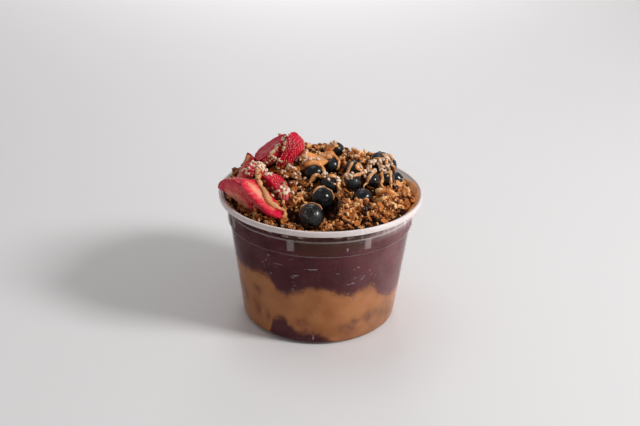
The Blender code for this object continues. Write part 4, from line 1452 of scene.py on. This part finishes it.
def dollop(tree, middle, normal, reach, thick, seed, rows=12, cols=30):
    """A dollop laid on the surface: rings run out from its middle to an uneven outline, with
    a rounded height above the surface, and come back under it."""
    axes = facing(np.asarray(normal, float)[None], np.random.default_rng(0))[0]
    share = shares(rows)
    x, y = uneven_round(np.random.default_rng(seed), share, cols, (3, 0.16), (5, 0.10))
    base = np.stack([x, y, 0 * x], -1) * reach @ axes.T + middle
    spots, normals = (found.reshape(base.shape) for found in
                      laid_on(tree, base.reshape(-1, 3), 8.0))
    for _ in range(3):
        spots, normals = soften_round(spots), soften_round(normals)
        soften(spots)
    normals = unit(normals + 0.3 * axes[:, 2])
    height = thick * np.sqrt(clamp(1 - share ** 3))[:, None] * (1 + 0.12 * ripples(base, 4.0, seed))
    top = spots + normals * height[..., None]
    under = (spots - normals * 0.35)[::-1][1:]
    rings = np.concatenate([top, under])
    points = shell(rings, top[0].mean(0) + unit(normals[0].mean(0)) * 0.05, under[-1].mean(0))
    return points, shell_faces(len(rings), cols)


def wall_poles(azimuth, z, *outs):
    """Points at an azimuth and a height, each so far out of the tub's inner face."""
    return (from_wall(inner_radius(z) + out, np.array(float(azimuth)), z) for out in outs)


def wall_smear(azimuth, z, wide, tall, thick, seed, rows=10, cols=40):
    """A smear on the tub's inner face: an uneven patch in azimuth and height that stands in
    from the wall and has its back just inside it."""
    share = shares(rows)
    x, y = uneven_round(np.random.default_rng(seed), share, cols, (2, 0.2), (5, 0.15))
    a, h = azimuth + wide * x, np.minimum(z + tall * y, TUB_TOP - 0.6)
    height = thick * np.sqrt(clamp(1 - share ** 2))[:, None]
    inner = inner_radius(h)
    height = height * (1 + 0.3 * ripples(from_wall(inner, a, h), 5.0, seed)) + 0.05
    front = from_wall(inner - height, a, h)
    back = from_wall(inner + 0.2, a, h)[::-1][1:]
    # seen from the middle of the tub the turn runs anticlockwise, so the front is the top
    rings = np.concatenate([front, back])[:, ::-1]
    return shell(rings, *wall_poles(azimuth, z, -thick, 0.2)), shell_faces(len(rings), cols)


# strands as (width, warmth of the colour, points they pass through), millimetres
STRANDS = [
    (3.4, 0.15, [(-36.5, -7, 91.5), (-35.5, -14, 90), (-33.3, -21.5, 88), (-30.7, -26.5, 86.2),
                 (-27.8, -33.5, 83.8), (-25.6, -36, 82.6), (-23, -36.4, 81.6), (-20.3, -36.6, 80.6),
                 (-18, -38, 79.4), (-17.9, -41.5, 77.6), (-19, -44, 76.2)]),
    (2.3, 0.5, [(3.2, 12, 93.5), (7, 10, 94), (10.5, 6.5, 92), (11, 4.5, 89.8), (9.2, 3.4, 86.5)]),
    (3.0, 0.9, [(-3.5, 1, 94.6), (0.5, -3, 93.2), (2.4, -6, 90.5), (2.8, -8, 87.6)]),
    (2.7, 0.2, [(-5.4, -10.8, 84.6), (-4.5, -11.1, 87), (-2.9, -9.8, 88.6), (-0.7, -10.5, 89.4),
                (2.2, -12.5, 90.2)]),
    (2.7, 0.3, [(4, -13, 89.9), (7, -11.5, 89.4), (9.4, -11.4, 88.4), (10, -13.5, 85.6),
                (11, -17, 83.6), (9.5, -20, 82), (7.8, -22.5, 81)]),
    (1.2, 0.2, [(-4.8, -29, 86), (-2.1, -27.5, 88.8), (1.4, -25, 89.4), (4.3, -23.8, 88),
                (6.3, -24.8, 85.2), (6.9, -26.5, 81.5)]),
    (1.1, 0.2, [(-10.8, -40, 81.6), (-8.2, -36.5, 83.8), (-4.8, -36.8, 85.6), (-1.4, -38, 84.6),
                (1.4, -40.5, 82)]),
    (2.1, 0.1, [(18.2, 1.5, 93.4), (16.3, -1.1, 91.4), (15.2, -2.6, 88.8), (13.4, -8.6, 89),
                (12.4, -12, 86.4), (13, -14.5, 84.2)]),
    (2.3, 0.1, [(13.4, -11.5, 88.8), (16, -12.8, 90.2), (18.3, -12.6, 90.2), (20.5, -10, 89.8),
                (23.2, -5, 89.6), (25, -1, 89.4)]),
    (1.9, 0.2, [(24.8, -11.4, 82.8), (25.6, -8.9, 85.6), (27.4, -7.4, 88), (29.6, -3.5, 89),
                (31, 2, 89.4)]),
    (2.2, 0.3, [(32.6, 8.6, 93.4), (34, 6.6, 89.6), (34.6, 2, 87.4), (34.6, -2, 84.8),
                (35, -5.2, 82), (37.6, -8.6, 80.8)]),
    (2.2, 0.3, [(37.2, 8.6, 92.6), (39, 5.4, 88.6), (39.4, 0.8, 86.8), (39.8, -2.6, 83.6),
                (40.6, -4.6, 80.4)]),
    (2.2, 0.4, [(39, 13, 94), (41.4, 16, 90.5), (42, 16, 86), (43.5, 17, 81)]),
    (2.0, 0.5, [(3.4, 20.6, 92.5), (4.6, 19.4, 95), (7.6, 19.2, 96.6), (10, 20.2, 95.8)]),
    (1.2, 0.0, [(23, -3, 89.4), (26.5, 0.5, 90), (29.6, 6, 91.6), (32, 9, 93.8)]),
    (1.3, 0.0, [(25.6, 6, 89), (29, 9.5, 92), (33, 8.4, 93.6), (38, 9.4, 92.4), (41.4, 12, 90)]),
    (1.1, 0.0, [(27.4, 14, 89), (30.8, 9.4, 91.6), (35, 8.2, 92.4), (38.8, 10.2, 91.6)]),
]
# dollops: middle, way up, reach, height, warmth
DOLLOPS = [((-3.5, 1.5, 94.4), (-0.1, -0.25, 1.0), 7.4, 2.3, 1.0),
           ((-8.5, 5.5, 91.0), (-0.5, -0.5, 0.8), 6.0, 1.9, 0.3),
           ((3.0, 12.0, 93.0), (0.0, -0.3, 1.0), 5.0, 1.8, 0.9),
           ((-43.6, 10.8, 90.8), (-0.1, -0.6, 0.7), 2.6, 0.5, 0.6),
           ((22.5, -0.5, 91.4), (0.5, -0.6, 0.6), 3.8, 0.6, 0.6),
           ((43.5, 0.5, 80.6), (0, -0.3, 1), 3.4, 1.3, 0.4),
           ((4.4, 20.4, 94.6), (-0.5, -0.6, 0.8), 3.4, 1.0, 0.9),
           ((19.6, -26.6, 80.6), (-0.5, -0.8, 0.2), 2.6, 0.7, 0.8)]
# smears on the tub's inner face: azimuth, height, half width, half height, thickness
SMEARS = [(86, 75.0, 18, 2.0, 0.7), (70, 75.0, 10, 1.4, 0.7), (104, 74.8, 10, 1.2, 0.5)]


class ACAI_OT_sauce(bpy.types.Operator):
    """Drizzle peanut butter over the fruit, and smear some on the tub's inner face"""
    bl_idname = "acai.sauce"
    bl_label = "Peanut Butter Drizzle"

    def execute(self, context):
        material = sauce_material(context.scene.acai_sauce)
        tree = surface_tree("berry_", "granola_clusters", "granola_core")
        strands = [strand(tree, knots, width, SEEDS["strands"] + n)
                   for n, (width, _, knots) in enumerate(STRANDS)]
        dollops = [dollop(tree, np.array(middle, float), way, reach, thick, SEEDS["dollops"] + n)
                   for n, (middle, way, reach, thick, _) in enumerate(DOLLOPS)]
        smears = [wall_smear(*smear, SEEDS["smears"] + n) for n, smear in enumerate(SMEARS)]
        for name, parts, warmths in (
                ("peanut_drizzle", strands, [warmth for _, warmth, _ in STRANDS]),
                ("peanut_dollops", dollops, [row[-1] for row in DOLLOPS]),
                ("peanut_smears", smears, [1.0] * len(SMEARS))):
            warm = np.concatenate([np.full(len(p), w) for (p, _), w in zip(parts, warmths)])
            obj = put_mesh(name, *joined(parts), material, warm=warm)
            ride(obj, "peanut_butter")
        return {"FINISHED"}


# hemp seeds: middle of each handful, its reach and the number of seeds
HANDFULS = [
    ((-21, 9.5, 103), 3.5, 14), ((-24, 2, 102.4), 3.6, 16), ((-27, -1, 99.5), 3.6, 16),
    ((-29.5, -3, 96), 3.4, 14), ((-27, 4, 92), 4, 14), ((-37, -6.6, 92.2), 4.6, 24),
    ((-41, -10, 91.5), 4.2, 10), ((-33, -6.7, 90.2), 3.6, 20), ((-30, -15, 90.5), 4.0, 14),
    ((-20.6, -25.5, 84.4), 3.6, 18), ((-18.4, -24.8, 82.5), 3.6, 16), ((-22, -22, 84), 3.4, 14),
    ((33, 6, 91), 4.0, 26), ((30, 3, 90), 4.0, 22), ((36, 5.5, 90), 3.6, 18), ((38, 11, 94), 3, 8),
    ((27, -2, 89), 3.4, 16), ((24, -5, 88), 2.6, 8), ((16, -12, 90.4), 3.0, 8), ((36, 2, 87), 3, 6),
    ((17, 18, 92), 5.0, 16), ((-12, 6, 91), 5.0, 14), ((-17.5, -3.5, 91), 4.2, 18),
    ((-7, 3, 98), 4.6, 18), ((-14, -12, 86), 6, 14),
    ((8, 22, 98), 4, 8), ((-15, 20, 92), 8, 18), ((2, -11, 90.5), 3.4, 8), ((10, -14, 87), 3, 7),
    ((-12, -20, 83), 4, 8), ((-24, 20, 98), 6, 10), ((20, 12, 91), 5, 10)]


class ACAI_OT_hemp(bpy.types.Operator):
    """Sprinkle hulled hemp seeds on the fruit and the granola"""
    bl_idname = "acai.hemp"
    bl_label = "Hemp Seeds"

    def execute(self, context):
        sauce = context.scene.acai_sauce
        tree = surface_tree("berry_", "granola_", "peanut_d")
        rng = np.random.default_rng(SEEDS["hemp"])
        places = np.concatenate([np.array(middle) + rng.normal(0, 0.5, (count, 3)) * reach
                                 for middle, reach, count in HANDFULS])
        spots, normals = laid_on(tree, places, 12.0)
        sizes = rng.uniform(0.75, 1.1, len(spots)) * sauce.seed_length / MM / 2
        normals = unit(normals + 0.35 * rng.normal(size=normals.shape))
        shape, faces = ball(5, 8)
        shape = shape * [1.0, 0.72, 0.5] * (1 - 0.22 * shape[:, :1])
        points, faces = stamped(shape[None], faces, np.zeros(len(spots), int), facing(normals, rng),
                                spots + normals * sizes[:, None] * 0.35, sizes)
        material = seed_material("hemp_seed", sauce.hemp, sauce.hemp_dark, 260.0)
        ride(put_mesh("hemp_seeds", points, faces, material), "granola")
        return {"FINISHED"}


# ---- marks in the wall ---------------------------------------------------------------------

# light marks where the food leaves the wall: azimuth, height, half length, half width, slope
WALL_MARKS = [
    (-26, 51.6, 2.9, 0.30, 4), (-4.7, 51.2, 3.5, 0.32, 3), (-14.3, 46.3, 1.9, 0.28, 8),
    (-32.7, 55.7, 0.7, 0.5, 0), (-31.6, 44.4, 0.7, 0.3, 60), (-8.9, 30.2, 0.5, 0.45, 0),
    (16, 63.7, 1.0, 0.45, 80), (24.4, 50.8, 1.3, 0.28, -20), (28.4, 43.4, 1.9, 0.42, 50),
    (20, 40.7, 2.6, 0.35, 8), (34.6, 43.9, 0.9, 0.3, 35), (23.6, 29.4, 0.7, 0.6, 0),
    (-3.5, 5.2, 1.9, 0.45, 90), (-16.3, 41.8, 0.6, 0.25, 0), (-15.6, 39.6, 0.7, 0.25, 10),
    (-16.8, 37.4, 0.6, 0.25, 0), (-16, 35.6, 0.5, 0.25, 0)]
# larger pale gaps under the lip
BAND_GAPS = [(-33, 71.6, 4.2, 0.7, -4), (-24.5, 71.9, 2.6, 0.5, 0), (-20, 70.6, 2.0, 0.6, 0),
             (-9.5, 71.2, 3.6, 0.7, 2), (-3.6, 71.9, 2.0, 0.5, 0), (11, 71.4, 3.0, 0.55, 0),
             (17.5, 70.6, 2.0, 0.6, 0), (40, 70.4, 1.0, 2.3, 0), (43.5, 69.6, 0.9, 2.8, 0),
             (52, 70, 0.9, 2.0, 0)]


MARK_OUT = INTO_WALL + 0.12    # how far out of the inner face a mark's middle lies


def wall_mark(azimuth, z, long, wide, slope, seed, depth=0.05, rows=4, cols=14):
    """A thin lens in the wall: an uneven oval in azimuth and height, turned by its slope."""
    share, side = lens_shares(rows)
    x, y = uneven_round(np.random.default_rng(seed), share, cols, (3, 0.18), (4, 0.12))
    sine, cosine = math.sin(math.radians(slope)), math.cos(math.radians(slope))
    u, v = long * x, wide * y
    over, h = u * cosine - v * sine, z + (u * sine + v * cosine)
    bulge = side * depth * np.sqrt(clamp(1 - share ** 2))[:, None]
    a = azimuth + np.degrees(over / inner_radius(z))
    rings = from_wall(inner_radius(h) + MARK_OUT + bulge, a, h)
    poles = wall_poles(azimuth, z, MARK_OUT + depth, MARK_OUT - depth)
    return shell(rings, *poles), shell_faces(len(rings), cols)


SPECKS_BY_CLUSTER, SPECKS_ROUND = 26, 90       # small marks at the front right, and all round


class ACAI_OT_wall_marks(bpy.types.Operator):
    """Put small air gaps between the food and the wall, and larger ones under the lip"""
    bl_idname = "acai.wall_marks"
    bl_label = "Marks in the Wall"

    def execute(self, context):
        rng = np.random.default_rng(SEEDS["marks"])
        marks = list(WALL_MARKS)
        for _ in range(SPECKS_BY_CLUSTER):
            marks.append((rng.normal(43, 5), rng.uniform(34, 47), rng.uniform(0.2, 0.6),
                          rng.uniform(0.15, 0.28), rng.uniform(0, 180)))
        for _ in range(SPECKS_ROUND):
            marks.append((rng.uniform(-180, 180), rng.uniform(26, 58), rng.uniform(0.2, 1.4),
                          rng.uniform(0.12, 0.26), rng.uniform(-20, 40)))
        small = [wall_mark(*mark, SEEDS["air gaps"] + n) for n, mark in enumerate(marks)]
        material = gap_material("air_gap", 300.0, tint(176, 160, 166), tint(150, 130, 138),
                                600.0, 0.35, 0.65, 0.25, 0.75)
        ride(put_mesh("wall_air_gaps", *joined(small), material), "tub_plastic")
        large = [wall_mark(*gap, SEEDS["band gaps"] + n, rows=6, cols=24)
                 for n, gap in enumerate(BAND_GAPS)]
        material = gap_material("band_gap", 250.0, tint(196, 172, 158), tint(160, 120, 100),
                                350.0, 0.3, 0.7, 0.3, 0.85)
        ride(put_mesh("band_air_gaps", *joined(large), material), "tub_plastic")
        return {"FINISHED"}


# ---- the stage -----------------------------------------------------------------------------

FLOOR_LEVEL = -0.05            # just under the foot, in millimetres
CAMERA_TARGET = Vector((-0.00024, 0.0, 0.06137))
CAMERA_DISTANCE = 0.52396
CAMERA_ELEVATION = math.radians(24.63)
CAMERA_ROLL = math.radians(1.11)


def look(towards):
    """Turn that points an area light's or a camera's -Z along a direction."""
    return Vector(towards).to_track_quat("-Z", "Y").to_matrix().to_4x4()


def area_light(name, place, power, size, colour, target=(0, 0, 0.06), spread_angle=math.pi):
    """Square light at a place, turned to its target."""
    light = bpy.data.lights.new(name, "AREA")
    light.energy, light.size, light.color, light.spread = power, size, colour, spread_angle
    obj = bpy.data.objects.new(name, light)
    bpy.context.scene.collection.objects.link(obj)
    place, target = Vector(place), Vector(target)
    obj.matrix_world = Matrix.Translation(place) @ look(target - place)
    return obj


class ACAI_OT_stage(bpy.types.Operator):
    """Set the pale floor, the soft studio light and the camera"""
    bl_idname = "acai.stage"
    bl_label = "Stage"

    def execute(self, context):
        stage, scene = context.scene.acai_stage, context.scene
        radius = np.array([0.2, 0.6, 1.5, 4.0, 9.0]) / MM
        cols = 48
        level = np.full((len(radius), 1), FLOOR_LEVEL)
        rings = from_wall(radius[:, None], once_round(cols, 360.0)[None, :], level)
        points = np.vstack([[0, 0, FLOOR_LEVEL], rings.reshape(-1, 3)])
        bands, caps = shell_faces(len(radius), cols)
        floor = put_mesh("floor", points, [bands, caps[:cols]], floor_material(stage))

        area_light("key_light", (1.18, -0.43, 0.88), stage.key_power, 0.34, (1.0, 0.985, 0.97))
        area_light("top_light", (-0.25, 0.35, 1.36), 2.4, 0.7, (0.98, 0.99, 1.0))
        area_light("backdrop_light", (0.0, 1.75, 1.1), 4.5, 0.7, (1.0, 0.99, 0.99),
                   (-0.1, 1.35, 0.0), math.radians(90))

        world = bpy.data.worlds.new("studio")
        world.use_nodes = True
        tree = world.node_tree
        # the world is brighter and less warm to the camera than to the bowl
        seen = add(tree, "ShaderNodeLightPath", output="Is Camera Ray")
        fill_sockets(tree, tree.nodes["Background"], {
            "Color": mix(tree, seen, (1.0, 0.94, 0.915), (1.0, 0.985, 0.99)),
            "Strength": spread(tree, seen, 0.0, 1.0, stage.fill, 0.76)})
        scene.world = world

        camera = bpy.data.cameras.new("camera")
        camera.lens, camera.sensor_width = stage.lens, 36.0
        camera.clip_start, camera.clip_end = 0.01, 50.0
        obj = bpy.data.objects.new("camera", camera)
        scene.collection.objects.link(obj)
        sin_e, cos_e = math.sin(CAMERA_ELEVATION), math.cos(CAMERA_ELEVATION)
        back = Vector((0, -cos_e, sin_e))
        across, up = Vector((1, 0, 0)), Vector((0, sin_e, cos_e))
        sin_r, cos_r = math.sin(CAMERA_ROLL), math.cos(CAMERA_ROLL)
        right, top = across * cos_r + up * sin_r, up * cos_r - across * sin_r
        turn = Matrix((right, top, back)).transposed().to_4x4()
        obj.matrix_world = Matrix.Translation(CAMERA_TARGET + back * CAMERA_DISTANCE) @ turn
        scene.camera = obj
        scene.view_settings.view_transform = "Standard"
        return {"FINISHED"}


# ---- the panel and the run -----------------------------------------------------------------

OPERATORS = (ACAI_OT_tub, ACAI_OT_layers, ACAI_OT_wall_marks, ACAI_OT_granola,
             ACAI_OT_blueberries, ACAI_OT_strawberries, ACAI_OT_sauce, ACAI_OT_hemp,
             ACAI_OT_stage)
SETTINGS = {"acai_tub": TubSettings, "acai_layers": LayerSettings,
            "acai_granola": GranolaSettings, "acai_fruit": FruitSettings,
            "acai_sauce": SauceSettings, "acai_stage": StageSettings}


class ACAI_PT_bowl(bpy.types.Panel):
    """Settings and steps of the acai bowl"""
    bl_idname = "ACAI_PT_bowl"
    bl_label = "Acai Bowl"
    bl_space_type = "VIEW_3D"
    bl_region_type = "UI"
    bl_category = "Acai Bowl"

    def draw(self, context):
        for operator in OPERATORS:
            self.layout.operator(operator.bl_idname)
        for name, group in SETTINGS.items():
            box = self.layout.box()
            box.label(text=group.__doc__)
            for key in group.__annotations__:
                box.prop(getattr(context.scene, name), key)


def register():
    """Register the classes and give each scene its settings."""
    for cls in (*SETTINGS.values(), *OPERATORS, ACAI_PT_bowl):
        bpy.utils.register_class(cls)
    for name, group in SETTINGS.items():
        setattr(bpy.types.Scene, name, PointerProperty(type=group))


def unregister():
    """Take the settings and the classes away again."""
    for name in SETTINGS:
        delattr(bpy.types.Scene, name)
    for cls in reversed((*SETTINGS.values(), *OPERATORS, ACAI_PT_bowl)):
        bpy.utils.unregister_class(cls)


def main():
    """Register the classes and run the steps in order."""
    register()
    for operator in OPERATORS:
        area, step = operator.bl_idname.split(".")
        getattr(getattr(bpy.ops, area), step)()


if __name__ == "__main__":
    main()
